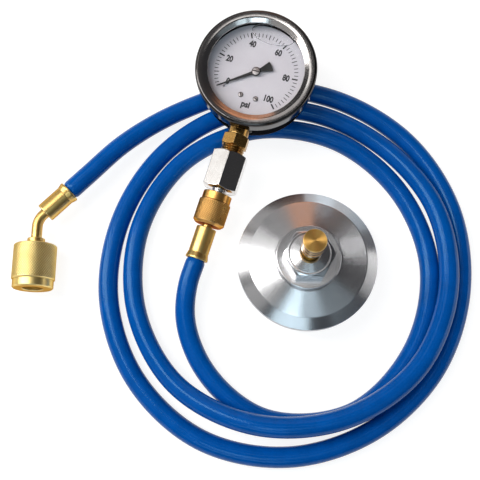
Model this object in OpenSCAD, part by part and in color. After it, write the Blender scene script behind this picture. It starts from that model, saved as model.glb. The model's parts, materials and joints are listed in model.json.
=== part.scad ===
// Fuel filter cap pressure tester: a liquid-filled gauge on a coiled hose with an angled
// hand nut, and the turned filter cap with a capped test port that it screws onto.
// Millimetres, +Z up. The origin is on the filter cap's axis, on the table.

/* [Filter cap] */
// Outside diameter of the cap's disc
rim_d = 76.5; // [74:0.5:84]
// Height of the disc's straight edge
rim_h = 4.5; // [3:0.25:7]
// Width of the bevel round the disc
bevel_w = 6.25; // [3:0.25:7]
// Height that the bevel rises
bevel_h = 3.7; // [2:0.1:5]
// Thickness of the disc over the hollow
roof_t = 6.2; // [4:0.1:7.5]
// Diameter of the spigot that screws into the filter housing
spigot_d = 66; // [60:0.5:70]
// Wall of the spigot
spigot_wall = 5; // [4.5:0.25:7]
// Height of the spigot below the disc
spigot_h = 16; // [14:0.5:20]
// Section diameter of the spigot's O-ring
ring_w = 3; // [2.5:0.1:3.5]
// Diameter of the round collar under the hex
collar_d = 35; // [34:0.5:42]
// Height of the round collar
collar_h = 4.3; // [2:0.1:6]
// Width of the hex across its flats
hex_af = 24.5; // [24:0.5:29]
// Height of the hex
hex_h = 8; // [6:0.25:12]
// Diameter of the turned land on top of the hex
land_d = 21; // [18:0.2:21.4]

/* [Test port] */
// Thread diameter of the test port, at both ends
port_d = 10; // [9:0.25:11]
// Depth of the port's thread in the cap
port_root = 9; // [7:0.5:10]
// Diameter of the port's neck
neck_d = 8.6; // [8:0.1:8.9]
// Height of the neck between the hex and the port's shoulder
neck_h = 11.4; // [8:0.2:15]
// Height of the shoulder under the port cap
shoulder_h = 1.2; // [0.8:0.1:2]
// Outside diameter of the port cap
port_cap_d = 12; // [11.8:0.1:14]
// Height of the port cap
port_cap_h = 12.8; // [10:0.2:16]
// Roof of the port cap
port_cap_roof = 2.2; // [1.5:0.1:3]
// Thickness of the seal in the port cap
port_seal_t = 1.2; // [0.8:0.1:1.6]
// Diameter of the valve core's bore
core_d = 5.2; // [4.6:0.1:5.6]
// Diameter of the valve pin
valve_pin_d = 1.6; // [1.2:0.1:2]
// Travel of the valve pin
valve_travel = 1.2; // [0.6:0.1:1.6]

/* [Gauge] */
// Outside diameter of the gauge case
case_d = 63; // [60:0.5:66]
// Wall of the gauge case
case_wall = 1; // [0.8:0.1:1.2]
// Depth of the case behind the stem's axis
case_back = 9.5; // [9.4:0.1:11]
// Depth of the case in front of the stem's axis
case_front = 11.5; // [11:0.25:14]
// How far the bezel stands out past the case
bezel_step = 2.5; // [2:0.1:3.5]
// Radial width of the bezel's front
bezel_lip = 7; // [5:0.25:8]
// Radius of the bezel's rounded outer edge
bezel_round = 1.7; // [1:0.1:2.5]
// Height of the bezel above the window
bezel_rise = 2.3; // [1.5:0.1:4]
// Thickness of the window
window_t = 3; // [2:0.25:4]
// Thickness of the window gasket
gasket_t = 1.2; // [0.8:0.1:2]
// Distance of the dial's back from the stem's axis
dial_z = 6.3; // [5.5:0.1:7]
// Thickness of the dial
dial_t = 0.6; // [0.4:0.1:1]
// Length of the pointer from its pivot to its tip
pointer_len = 23.6; // [18:0.2:24.5]
// Length of the pointer's tail
pointer_tail = 9.4; // [6:0.2:12]
// Angle of the dial's zero, from the dial's right
zero_angle = 217; // [215:1:228]
// Teeth on the pinion
pinion_teeth = 10; // [10:1:11]
// Sector gear's teeth to a full turn, over the pinion's
gear_ratio = 9; // [8:1:9]
// Module of the pinion and sector
gear_module = 0.3; // [0.28:0.01:0.32]
// Turns of the hairspring
hairspring_turns = 5; // [3:1:6]

/* [Gauge stem and adapter] */
// Diameter of the stem's collar at the case
stem_collar_d = 12; // [11:0.25:13]
// Length of the collar outside the case
stem_collar_h = 4.3; // [2:0.1:6]
// Width of the stem's wrench hex across its flats
wrench_af = 14; // [12:0.25:15]
// Length of the wrench hex
wrench_h = 7; // [5:0.1:9]
// Diameter of the stem's thread
stem_thread_d = 13.2; // [11:0.1:13.6]
// Length of the stem's thread that shows
stem_thread_show = 4.3; // [3:0.1:9]
// Pitch of the stem's thread
stem_pitch = 1.4; // [1:0.1:1.8]
// Length of the stem's thread inside the adapter
stem_thread_in = 8.5; // [6:0.25:11]
// Width of the adapter's hex across its flats
adapter_af = 19; // [17:0.25:20]
// Length of the adapter's hex
adapter_h = 21.7; // [16:0.25:24]
// Diameter of the adapter's neck above the swivel nut
adapter_neck_d = 8.4; // [7:0.1:10]
// Length of the adapter's neck
adapter_neck = 2.5; // [2:0.1:6]
// Diameter of the adapter's flare thread
flare_d = 11.1; // [10.2:0.1:11.4]

/* [Swivel nut at the gauge] */
// Diameter of the nut's knurl
swivel_d = 18; // [16.8:0.1:20]
// Diameter of the nut's plain collar
swivel_collar_d = 16.4; // [14.5:0.1:16.6]
// Length of the nut's plain collar
swivel_collar_h = 4.6; // [3:0.1:7]
// Length of the nut
swivel_h = 18.7; // [16:0.1:22]
// Back wall of the nut
swivel_wall = 5; // [3:0.1:6]
// Length of nipple that shows between the nut and its ferrule
swivel_gap = 1.6; // [0.8:0.1:4]

/* [Angle nut] */
// Diameter of the nut's knurl
angle_nut_d = 23.5; // [22:0.1:26]
// Length of the nut's knurl
angle_knurl_h = 20; // [17:0.2:24]
// Diameter of the plain ring at the nut's mouth
angle_ring_d = 22.2; // [20:0.1:24]
// Length of the plain ring
angle_ring_h = 4.6; // [3:0.1:8]
// Back wall of the nut
angle_wall = 3; // [2:0.1:4]
// Diameter of the nut's countersunk mouth
mouth_d = 11.4; // [10.8:0.1:14]
// Depth of the mouth
mouth_h = 7.9; // [2:0.1:10]
// Outside diameter of the bent tube
tube_d = 5.9; // [4.4:0.1:6]
// Bore of the bent tube
tube_bore = 3.2; // [2:0.1:3.6]
// Radius of the tube's bend
tube_bend = 10.2; // [9:0.1:16]
// Length of tube between the ferrule and the bend
tube_out = 1.3; // [1:0.1:8]
// Length of tube between the bend and the nut's stem
tube_in = 6.8; // [2:0.1:10]

/* [Hose] */
// Outside diameter of the hose
hose_od = 11; // [9:0.25:11]
// Bore of the hose
hose_bore = 6.4; // [6.2:0.1:7]
// Diameter to which the ferrules squeeze the hose ends
hose_squeezed = 9.4; // [8.4:0.1:10]
// Length of a crimp ferrule
ferrule_len = 18.5; // [14:0.5:24]
// Wall of a ferrule round the squeezed hose
ferrule_wall = 0.9; // [0.6:0.1:1.5]
// End wall of a ferrule, towards its fitting
ferrule_end = 2; // [1.5:0.1:3]
// Length of a ferrule's belled mouth
ferrule_bell = 3.5; // [2:0.25:5]
// How far the belled mouth stands out
ferrule_flare = 0.7; // [0.3:0.1:1.2]
// Diameter of the nipple in the gauge end of the hose
nipple_d = 5.6; // [4.8:0.1:5.8]

/* [Lay] */
// Turn of the gauge's stem away from straight towards the viewer
gauge_turn = 18; // [10:1:26]
// Angle at which the gauge leans down towards its stem
gauge_tilt = 6.5; // [5:0.5:8]

/* [Hidden] */
$fn = 96;

// Clearances
run_fit = 0.06;
thread_fit = 0.1;
seat = 0.05;
gap = 0.3;
slip = 0.2;

// Filter cap heights
rim_top = spigot_h + rim_h;
face_z = rim_top + bevel_h;
hollow_z = face_z - roof_t;
collar_top = face_z + collar_h;
hex_top = collar_top + hex_h;
land_rise = 1;
land_groove = 0.5;
hex_edge = 0.5;
groove_h = ring_w + slip;
groove_top = spigot_h - 1.2;
groove_r = spigot_d / 2 - ring_w + 0.6;

// Test port heights
port_seat = hex_top - port_root;
shoulder_z = hex_top + neck_h;
shoulder_d = (neck_d + port_cap_d) / 2 + 0.5;
cap_z = shoulder_z + shoulder_h + gap;
cap_top = cap_z + port_cap_h;
seal_z = cap_top - port_cap_roof - port_seal_t;
port_top = seal_z - seat * 2;
core_len = 7;
core_top = port_top - 0.6;
core_z = core_top - core_len;
core_land = 2;
poppet_h = 1.2;
poppet_r = core_d / 2 - 0.7;
poppet_z = core_z - gap - poppet_h;
spring_h = 5.5;
spring_z = poppet_z - slip - spring_h;
spring_wire = 0.44;
spring_turns = 5;
spring_r = poppet_r - spring_wire;
core_floor = spring_z - slip;
passage_d = 3;
pin_low = poppet_z - valve_travel - 1.4;
pin_high = port_top - slip;

// Gauge, in its own frame: X right, Y up the dial, Z out of the dial, stem towards -Y
case_r = case_d / 2;
case_in = case_r - case_wall;
back_in = -case_back + case_wall;
back_round = 3;
bezel_r = case_r + bezel_step;
bezel_wall = 0.95;
flange_r = bezel_r - bezel_wall - seat;
flange_t = 1;
window_r = flange_r - 0.1;
window_z = case_front + gasket_t;
window_top = window_z + window_t;
lip_r = bezel_r - bezel_lip;
dial_r = case_in - 2.1;
dial_top = dial_z + dial_t;
pointer_z = dial_top + 1.5;
pointer_t = 0.5;
hub_r = 2.5;
hub_z = pointer_z - 0.2;
hub_h = 1.6;
arbor_r = 0.8;
collet_r = 1.5;
pin_hole_r = 2;

// Movement
plate_half = 3.4;
plate_t = 1;
plate_top = plate_half + plate_t;
pinion_r = gear_module * pinion_teeth / 2;
sector_r = pinion_r * gear_ratio;
addendum = gear_module * 0.65;
dedendum = gear_module;
pivot_bearing = -60;
pivot = (pinion_r + sector_r) * [cos(pivot_bearing), sin(pivot_bearing)];
mesh_angle = pivot_bearing + 180;
sector_sweep = 270 / gear_ratio;
sector_t = 1;
pinion_t = 1.8;
tooth_angle = 360 / (pinion_teeth * gear_ratio);
tail_r = 4.74;
tail_bearing = -18;
tail = pivot + tail_r * [cos(tail_bearing), sin(tail_bearing)];
tail_pin_r = 0.6;
link_z = sector_t / 2 + 0.35;
link_t = 0.5;
sector_hub_r = 2.2;
socket_clear = 1.8;
socket_top = pivot[1] - sector_hub_r - socket_clear;
socket_w = 17;
socket_front = 4;
shelf_h = 6;
plate_left = -11;
plate_right = pivot[0] + 7;
plate_up = 8;
posts = [[plate_left + 2.5, plate_up - 3], [plate_right - 2.5, plate_up - 3]];
post_r = 1.3;
screw_spots = [[-6, socket_top + 3], [1.2, socket_top + 3]];
boss_spots = [[-4.4, socket_top + 2], [4.4, socket_top + 2]];
boss_r = 1.6;
small_screw_r = 0.8;
bourdon_w = 2.6;
bourdon_clear = 0.45;
bourdon_r = norm([plate_left, socket_top]) + bourdon_clear + bourdon_w / 2;
bourdon_h = 9;
bourdon_wall = 0.4;
bourdon_mid = -1;
bourdon_from = -20;
bourdon_sweep = 271;
tip_sweep = 8;
tip_edge = 0.4;
lug_bearing = bourdon_from - 5;
lug_reach = 3.6;
tip_lug = (bourdon_r - lug_reach) * [cos(lug_bearing), sin(lug_bearing)];
lug_z = link_z - 0.4;
lug_t = 1;
hairspring_z = 1.6;
hairspring_h = 0.7;
hairspring_in = collet_r + gap;
hairspring_out = norm(posts[0]) - post_r - slip;
hairspring_w = 0.25;
stop_r = 19.8;
stop_pin_r = 0.5;
pointer_half = 0.3;
stop_angle = zero_angle + (stop_pin_r + pointer_half + slip) / stop_r * 180 / PI;
case_screw_spots = [[-5.5, socket_top - 5], [5.5, socket_top - 5]];
case_screw_r = 1.2;
plug_r = 3;
plug_head_r = 5;
plug_head_h = 1.8;
seal_w = 1.2;
stem_bore = 4.5;
restrictor_h = 4;
restrictor_hole = 0.8;

// Stations along the stem, from the gauge's axis to the mouth of its ferrule
wrench_s = case_r + stem_collar_h;
thread_s = wrench_s + wrench_h;
adapter_s = thread_s + stem_thread_show;
stem_end_s = adapter_s + stem_thread_in;
neck_s = adapter_s + adapter_h;
swivel_s = neck_s + adapter_neck;
swivel_floor_s = swivel_s + swivel_h - swivel_wall;
shoulder_t = 2.4;
swivel_seal_t = 1.5;
nipple_s = swivel_floor_s - slip - shoulder_t;
flare_end_s = nipple_s - swivel_seal_t;
flare_cone = 2;
swivel_end_s = swivel_s + swivel_h;
ferrule_s = swivel_end_s + swivel_gap;
mouth_s = ferrule_s + ferrule_len;
nipple_r = nipple_d / 2;
ferrule_bore_r = hose_squeezed / 2 + seat;
ferrule_r = ferrule_bore_r + ferrule_wall;
squeeze_len = ferrule_len - ferrule_end - slip;

// Where the hose begins and ends, and the points that it is laid along as [x, y, lift off the table]
stem_dir = [-sin(gauge_turn) * cos(gauge_tilt), -cos(gauge_turn) * cos(gauge_tilt), -sin(gauge_tilt)];
hose_start = [-61, 2.5, 6.5 + hose_od / 2];
angle_heading = 45;
end_dir = [-sin(angle_heading), -cos(angle_heading), 0];
hose_end = [-134, 42.5, angle_nut_d / 2];
hose_lead = 14;
hose_lay = [
    [-66.8, -29, 2.5], [-59.2, -52.5, 0.6], [-26, -82.6, 0], [22.6, -81, 0.1], [58.4, -46.7, 0],
    [70.2, 1, 0], [54.7, 45.7, 0], [20.5, 75.8, 0], [-27, 83, 0], [-69, 63.5, 0],
    [-93.5, 23.5, 0.1], [-94.5, -24, 0.4], [-71.4, -65.4, 4.4], [-29, -86.5, 11.6], [17.5, -83.5, 12.2],
    [57, -58, 11], [77.3, -14, 9.8], [73.6, 33, 7.2], [48.7, 70.6, 1.4], [7.3, 93.7, 0.1],
    [-39, 94.5, 0.1], [-80, 69.5, 0], [-104.5, 29, 0], [-110, -17.5, 0], [-93.5, -62.5, 0],
    [-58, -94, 0], [-11, -103, 0], [34, -89.5, 0], [69, -58, 0], [86.9, -13.4, 0],
    [85, 33.1, 0], [61.9, 75.4, 0], [21.7, 102.5, 0], [-25.5, 110, 0.2], [-70.3, 95.6, 1.2],
    [-105.4, 71.5, 5],
];
hose_sides = 10;
rings_per_span = 2;
checks_per_span = 6;
hose_bulge = 1.2;

route = concat(
    [hose_start, hose_start + stem_dir * hose_lead],
    [for (p = hose_lay) [p[0], p[1], p[2] + hose_od / 2]],
    [hose_end - end_dir * hose_lead, hose_end]
);
last = len(route) - 1;

// Slope of the route at each of its points, weighted by the spans on either side
function span(i) = norm(route[i + 1] - route[i]);
function chord(i) = (route[i + 1] - route[i]) / span(i);
function slope(i) =
    i == 0 ? chord(0) :
    i == last ? chord(last - 1) :
    (chord(i - 1) * span(i) + chord(i) * span(i - 1)) / (span(i - 1) + span(i));

// Point on a smooth cubic between route points i and i + 1
function on_span(i, t) =
    (2 * pow(t, 3) - 3 * pow(t, 2) + 1) * route[i]
    + (pow(t, 3) - 2 * pow(t, 2) + t) * span(i) * slope(i)
    + (3 * pow(t, 2) - 2 * pow(t, 3)) * route[i + 1]
    + (pow(t, 3) - pow(t, 2)) * span(i) * slope(i + 1);
function laid(per) = concat(
    [for (i = [0 : last - 1]) for (k = [0 : per - 1]) on_span(i, k / per)],
    [route[last]]
);

// Distance from a point to the stretch between two others
function to_stretch(p, a, b) =
    let (u = max(0, min(1, (p - a) * (b - a) / ((b - a) * (b - a))))) norm(p - a - u * (b - a));
function hose_gap(pts, skip) = min([
    for (i = [0 : len(pts) - 1]) for (j = [i + skip : len(pts) - 2]) to_stretch(pts[i], pts[j], pts[j + 1])
]) - hose_od;
function travel(pts) = [for (i = [0 : len(pts) - 2]) norm(pts[i + 1] - pts[i])];
function total(v) = v * [for (x = v) 1];

// Gauge's place, worked back from the mouth of its ferrule
gauge_at = hose_start - stem_dir * mouth_s;

// Angled end's places, worked on from the mouth of its ferrule
tube_start = hose_end + end_dir * (ferrule_len + tube_out);
bend_centre = tube_start + tube_bend * [cos(angle_heading), -sin(angle_heading), 0];
bend_end = bend_centre - [tube_bend, 0, 0];
stem_at = bend_end - [0, tube_in, 0];
stem_collar = 3.8;
angle_stem_neck_d = 7.6;
angle_shoulder_t = 2.4;
angle_seal_t = 1.5;
thread_r = port_d / 2 + thread_fit;
angle_shoulder_r = thread_r - 0.35;
angle_chamber = slip + angle_shoulder_t + angle_seal_t + 1.6;
angle_chamber_r = thread_r + 0.4;
angle_nut_h = angle_knurl_h + angle_ring_h;
nut_at = stem_at - [0, stem_collar + slip, 0];
depressor_r = 0.9;
depressor_web = 1;

// Frames of the gauge, of its stem at station s, and of the two ends of the angled fitting
module at_gauge() {
    translate(gauge_at) rotate([gauge_tilt, 0, -gauge_turn]) children();
}
module on_stem(s) {
    at_gauge() translate([0, -s, 0]) rotate([90, 0, 0]) children();
}
module at_hose_end() {
    translate(hose_end) rotate([90, 0, -angle_heading]) children();
}
module at_nut(p) {
    translate(p) rotate([90, 0, 0]) children();
}

// Shapes that repeat
module turned(points) {
    rotate_extrude() polygon(points);
}
module ring(r_in, r_out, h) {
    difference() {
        cylinder(r = r_out, h = h);
        translate([0, 0, -1]) cylinder(r = r_in, h = h + 2);
    }
}
module hex_bar(af, h) {
    rotate([0, 0, 30]) cylinder(d = af / cos(30), h = h, $fn = 6);
}
module slab(a, b) {
    translate(a) cube(b - a);
}
module spots(places) {
    for (p = places) translate([p[0], p[1], 0]) children();
}
function arc(centre, rx, ry, from, to, steps) = [
    for (i = [0 : steps])
        let (a = from + (to - from) * i / steps) centre + [rx * cos(a), ry * sin(a)]
];
// Outline of a ridged thread from z0 to z1, for a turned shape
function ridges(r, depth, z0, z1, count) = [
    for (i = [0 : count - 1])
        let (p = (z1 - z0) / count)
            for (q = [[r - depth, 0.05], [r, 0.35], [r, 0.65], [r - depth, 0.95]])
                [q[0], z0 + (i + q[1]) * p]
];
// Outline of teeth on a pitch circle, between two tooth numbers, each tooth 40% of the pitch wide
function teeth(pitch_r, count, from, to) = [
    for (i = [from : to])
        for (q = [[-0.5, -dedendum], [-0.27, -dedendum], [-0.13, addendum], [0.13, addendum], [0.27, -dedendum]])
            let (a = (i + q[0]) * 360 / count) (pitch_r + q[1]) * [cos(a), sin(a)]
];

module gauge_case() {
    color("silver") at_gauge() difference() {
        turned(concat(
            [[0, -case_back]],
            arc([case_r - back_round, -case_back + back_round], back_round, back_round, -90, 0, 6),
            [[case_r, case_front - flange_t], [flange_r, case_front - flange_t], [flange_r, case_front],
             [case_in, case_front], [case_in, back_in + back_round],
             [case_in - back_round, back_in], [0, back_in]]
        ));
        rotate([90, 0, 0]) cylinder(r = stem_collar_d / 2 + seal_w, h = case_d);
        rotate([-90, 0, 0]) cylinder(r = plug_r, h = case_d);
        spots(case_screw_spots)
            translate([0, 0, -case_back]) cylinder(r1 = case_screw_r + case_wall, r2 = case_screw_r, h = case_wall);
    }
}

module fill_plug() {
    color([0.1, 0.1, 0.1]) at_gauge() rotate([-90, 0, 0]) {
        translate([0, 0, case_in - 1]) cylinder(r = plug_r, h = case_wall + 1);
        translate([0, 0, case_r]) turned(concat(
            [[0, 0], [plug_head_r, 0], [plug_head_r, plug_head_h / 2]],
            arc([plug_head_r - 1, plug_head_h / 2], 1, plug_head_h / 2, 0, 90, 4),
            [[0, plug_head_h]]
        ));
    }
}

module gauge_bezel() {
    hook_r = case_r + slip;
    hook_top = case_front - flange_t - seat;
    hook_z = hook_top - 1.05;
    crown_z = window_top + bezel_rise;
    edge = 0.8;
    lip_t = 0.5;
    color("gainsboro") at_gauge() turned(concat(
        [[hook_r, hook_z]],
        arc([bezel_r - edge, hook_z + edge], edge, edge, -90, 0, 4),
        arc([bezel_r - bezel_round, crown_z - bezel_round], bezel_round, bezel_round, 0, 90, 8),
        [[lip_r, window_top + seat + lip_t], [lip_r, window_top + seat]],
        [[bezel_r - bezel_wall, window_top + seat], [bezel_r - bezel_wall, hook_top], [hook_r, hook_top]]
    ));
}

module window_gasket() {
    color([0.08, 0.08, 0.08]) at_gauge()
        translate([0, 0, case_front]) ring(case_in - 2, window_r, gasket_t);
}

module gauge_window() {
    color("aliceblue", 0.3) at_gauge()
        translate([0, 0, window_z]) cylinder(r = window_r, h = window_t);
}

module gauge_dial() {
    color("white") at_gauge() difference() {
        translate([0, 0, dial_z]) cylinder(r = dial_r, h = dial_t);
        cylinder(r = pin_hole_r, h = dial_top + 1);
        spots(boss_spots) cylinder(r = small_screw_r + seat, h = dial_top + 1);
        rotate([0, 0, stop_angle]) translate([stop_r, 0, 0]) cylinder(r = stop_pin_r, h = dial_top + 1);
    }
}

module dial_screws() {
    color("dimgray") at_gauge() spots(boss_spots) {
        translate([0, 0, plate_top]) cylinder(r = small_screw_r, h = dial_top - plate_top);
        translate([0, 0, dial_top]) cylinder(r = 1.5, h = 0.6);
    }
}

module stop_pin() {
    color("gold") at_gauge() rotate([0, 0, stop_angle])
        translate([stop_r, 0, dial_z]) cylinder(r = stop_pin_r, h = pointer_z + pointer_t + 0.5 - dial_z);
}

module gauge_pointer() {
    tip_half = 0.12;
    root_half = 0.8;
    tail_half = 2.9;
    color([0.05, 0.05, 0.05]) at_gauge() rotate([0, 0, zero_angle]) difference() {
        union() {
            translate([0, 0, pointer_z]) linear_extrude(pointer_t) polygon(concat(
                [[pointer_len, -tip_half], [pointer_len, tip_half], [hub_r / 2, root_half], [-hub_r, root_half]],
                arc([0, 0], pointer_tail, pointer_tail, 180 - asin(tail_half / pointer_tail),
                    180 + asin(tail_half / pointer_tail), 6),
                [[-hub_r, -root_half], [hub_r / 2, -root_half]]
            ));
            translate([0, 0, hub_z]) cylinder(r = hub_r, h = hub_h);
        }
        translate([0, 0, hub_z - 1]) cylinder(r = arbor_r + seat, h = hub_h + 2);
    }
}

module pinion_arbor() {
    // Half a pitch puts a gap of the pinion opposite the sector's tooth on the line of centres
    phase = pivot_bearing + 180 / pinion_teeth;
    color("goldenrod") at_gauge() {
        translate([0, 0, -plate_top]) cylinder(r = arbor_r, h = plate_top + hub_z + hub_h);
        translate([0, 0, hairspring_z - 0.2]) cylinder(r = collet_r, h = hairspring_h + 0.4);
        translate([0, 0, -pinion_t / 2]) rotate([0, 0, phase])
            linear_extrude(pinion_t) polygon(teeth(pinion_r, pinion_teeth, 0, pinion_teeth - 1));
    }
}

module sector_gear() {
    // At zero the sector meshes near its far end, so that it can swing by its whole sweep
    spare = 2;
    swing = ceil(sector_sweep / tooth_angle);
    color("goldenrod") at_gauge() translate([pivot[0], pivot[1], 0]) {
        translate([0, 0, -sector_t / 2]) linear_extrude(sector_t) {
            rotate(mesh_angle) polygon(concat(
                [[0, 0]], teeth(sector_r, pinion_teeth * gear_ratio, -swing - spare, spare)
            ));
            circle(r = sector_hub_r);
            rotate(tail_bearing) translate([0, -1]) square([tail_r, 2]);
            rotate(tail_bearing) translate([tail_r, 0]) circle(r = 1.2);
        }
        translate([0, 0, -plate_top]) cylinder(r = arbor_r, h = plate_top * 2);
        rotate([0, 0, tail_bearing]) translate([tail_r, 0, 0]) cylinder(r = tail_pin_r, h = link_z + link_t + 0.4);
    }
}

module movement_link() {
    reach = norm(tip_lug - tail);
    lean = atan2(tip_lug[1] - tail[1], tip_lug[0] - tail[0]);
    color("goldenrod") at_gauge() translate([tail[0], tail[1], link_z]) rotate([0, 0, lean])
        linear_extrude(link_t) difference() {
            union() {
                circle(r = 1.3);
                translate([reach, 0]) circle(r = 1.3);
                translate([0, -0.8]) square([reach, 1.6]);
            }
            circle(r = tail_pin_r + run_fit);
            translate([reach, 0]) circle(r = 0.5);
        }
}

module plate_blank() {
    slab([plate_left, socket_top, 0], [plate_right, plate_up, plate_t]);
}

module plate_holes() {
    translate([0, 0, -1]) cylinder(r = arbor_r + run_fit, h = plate_t + 2);
    translate([pivot[0], pivot[1], -1]) cylinder(r = arbor_r + run_fit, h = plate_t + 2);
}

module back_plate() {
    color("darkgoldenrod") at_gauge() translate([0, 0, -plate_top]) difference() {
        plate_blank();
        plate_holes();
        spots(screw_spots) translate([0, 0, -1]) cylinder(r = small_screw_r, h = plate_t + 2);
    }
}

module front_plate() {
    color("darkgoldenrod") at_gauge() translate([0, 0, plate_half]) difference() {
        union() {
            plate_blank();
            spots(boss_spots) cylinder(r = boss_r, h = dial_z - plate_half);
        }
        plate_holes();
        spots(boss_spots) translate([0, 0, plate_t]) cylinder(r = small_screw_r + seat, h = dial_z);
    }
}

module movement_posts() {
    color("goldenrod") at_gauge() spots(posts)
        translate([0, 0, -plate_half]) cylinder(r = post_r, h = plate_half * 2);
}

module movement_screws() {
    color("silver") at_gauge() spots(screw_spots) {
        translate([0, 0, -plate_top - 2]) cylinder(r = small_screw_r, h = 2 + plate_t);
        translate([0, 0, -plate_half]) cylinder(r = 1.5, h = 0.8);
    }
}

module hairspring() {
    // Flat spiral whose outer end lies at the first post
    steps = 24 * hairspring_turns;
    outer_end = atan2(posts[0][1], posts[0][0]);
    function coil(i, side) =
        let (a = outer_end - 360 * hairspring_turns * (1 - i / steps),
             r = hairspring_in + (hairspring_out - hairspring_in) * i / steps - side * hairspring_w)
        r * [cos(a), sin(a)];
    color("slategray") at_gauge() translate([0, 0, hairspring_z]) linear_extrude(hairspring_h)
        polygon(concat([for (i = [0 : steps]) coil(i, 0)], [for (i = [steps : -1 : 0]) coil(i, 1)]));
}

module bourdon_tube() {
    color("peru") at_gauge() translate([0, 0, bourdon_mid]) rotate([0, 0, bourdon_from])
        rotate_extrude(angle = bourdon_sweep) translate([bourdon_r, 0]) difference() {
            square([bourdon_w, bourdon_h], center = true);
            square([bourdon_w - 2 * bourdon_wall, bourdon_h - 2 * bourdon_wall], center = true);
        }
}

module bourdon_tip() {
    color("goldenrod") at_gauge() {
        translate([0, 0, bourdon_mid]) rotate([0, 0, bourdon_from - tip_sweep])
            rotate_extrude(angle = tip_sweep) translate([bourdon_r, 0])
                square([bourdon_w + tip_edge * 2, bourdon_h + tip_edge * 2], center = true);
        translate([tip_lug[0], tip_lug[1], lug_z - lug_t]) cylinder(r = 1.5, h = lug_t);
        translate([tip_lug[0], tip_lug[1], lug_z - lug_t]) rotate([0, 0, lug_bearing])
            translate([0, -1.2, 0]) cube([lug_reach - 1, 2.4, lug_t]);
    }
}

module gauge_socket() {
    thread_len = stem_thread_show + stem_thread_in;
    ridge_count = round(thread_len / stem_pitch);
    thread_root = stem_thread_d / 2 - 0.7;
    color("goldenrod") difference() {
        union() {
            at_gauge() intersection() {
                union() {
                    slab([-socket_w / 2, -case_in + 1.5, back_in], [socket_w / 2, socket_top, socket_front]);
                    slab([-socket_w / 2, socket_top - 1, back_in], [socket_w / 2, socket_top + shelf_h, -plate_top]);
                }
                turned([[0, back_in], [case_in - back_round - seat, back_in],
                        [case_in - seat, back_in + back_round], [case_in - seat, case_front], [0, case_front]]);
            }
            on_stem(case_in - 1.5) cylinder(d = stem_collar_d, h = 1.5 + case_wall + stem_collar_h);
            on_stem(case_in - 4) cylinder(r = thread_root - 0.5, h = stem_end_s - case_in + 3);
            on_stem(wrench_s) hex_bar(wrench_af, wrench_h);
            on_stem(thread_s) turned(concat(
                [[0, 0], [thread_root, 0]],
                ridges(stem_thread_d / 2, 0.7, 0, thread_len, ridge_count),
                [[thread_root, thread_len], [0, thread_len]]
            ));
        }
        on_stem(case_in - 8) cylinder(d = stem_bore, h = stem_end_s);
        at_gauge() spots(screw_spots) translate([0, 0, -plate_top - 2]) cylinder(r = small_screw_r, h = 2);
        at_gauge() spots(case_screw_spots) translate([0, 0, back_in]) cylinder(r = case_screw_r, h = 4);
    }
}

module socket_seal() {
    color([0.1, 0.1, 0.1]) on_stem(case_in - 1)
        ring(stem_collar_d / 2, stem_collar_d / 2 + seal_w, case_wall + 1.6);
}

module case_screws() {
    color("silver") at_gauge() spots(case_screw_spots) {
        translate([0, 0, -case_back]) cylinder(r1 = case_screw_r + case_wall, r2 = case_screw_r, h = case_wall);
        translate([0, 0, back_in]) cylinder(r = case_screw_r, h = 4);
    }
}

module pulse_restrictor() {
    color("goldenrod") on_stem(stem_end_s - restrictor_h - 0.5)
        ring(restrictor_hole / 2, stem_bore / 2, restrictor_h);
}

module hex_adapter() {
    corner_r = adapter_af / sqrt(3);
    chamfer = corner_r - adapter_af / 2 + 0.3;
    slope_h = chamfer * tan(30);
    flare_r = flare_d / 2;
    flare_len = flare_end_s - swivel_s;
    color("gainsboro") difference() {
        union() {
            on_stem(adapter_s) intersection() {
                hex_bar(adapter_af, adapter_h);
                turned([[0, 0], [corner_r - chamfer, 0], [corner_r + 0.1, slope_h],
                        [corner_r + 0.1, adapter_h - slope_h], [corner_r - chamfer, adapter_h], [0, adapter_h]]);
            }
            on_stem(neck_s - 2) cylinder(d = adapter_neck_d, h = adapter_neck + 4);
            on_stem(swivel_s) turned([[0, 0], [flare_r, 0], [flare_r, flare_len - flare_cone],
                                      [flare_r - flare_cone, flare_len], [0, flare_len]]);
        }
        on_stem(adapter_s - 1) cylinder(r = stem_thread_d / 2 + seat, h = stem_thread_in + 2);
        on_stem(adapter_s) cylinder(d = stem_bore, h = flare_end_s);
    }
}

module swivel_nut() {
    end_chamfer = 1.5;
    r = swivel_d / 2;
    bore_r = flare_d / 2 + thread_fit;
    hole_r = nipple_r + run_fit;
    floor_z = swivel_h - swivel_wall;
    color("goldenrod") on_stem(swivel_s) turned([
        [bore_r, 0], [swivel_collar_d / 2, 0], [swivel_collar_d / 2, swivel_collar_h],
        [r, swivel_collar_h + 0.5], [r, swivel_h - end_chamfer], [r - end_chamfer, swivel_h],
        [hole_r, swivel_h], [hole_r, floor_z], [bore_r, floor_z],
    ]);
}

module swivel_gasket() {
    color([0.1, 0.1, 0.1]) on_stem(flare_end_s)
        ring(stem_bore / 2 - 0.4, flare_d / 2 - 0.35, swivel_seal_t);
}

module hose_nipple() {
    tail_len = ferrule_len - 2;
    color("goldenrod") on_stem(nipple_s) difference() {
        union() {
            cylinder(r = flare_d / 2 - 0.3, h = shoulder_t);
            cylinder(r = nipple_r, h = ferrule_s - nipple_s + tail_len);
        }
        translate([0, 0, -1]) cylinder(d = tube_bore, h = mouth_s);
    }
}

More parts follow.
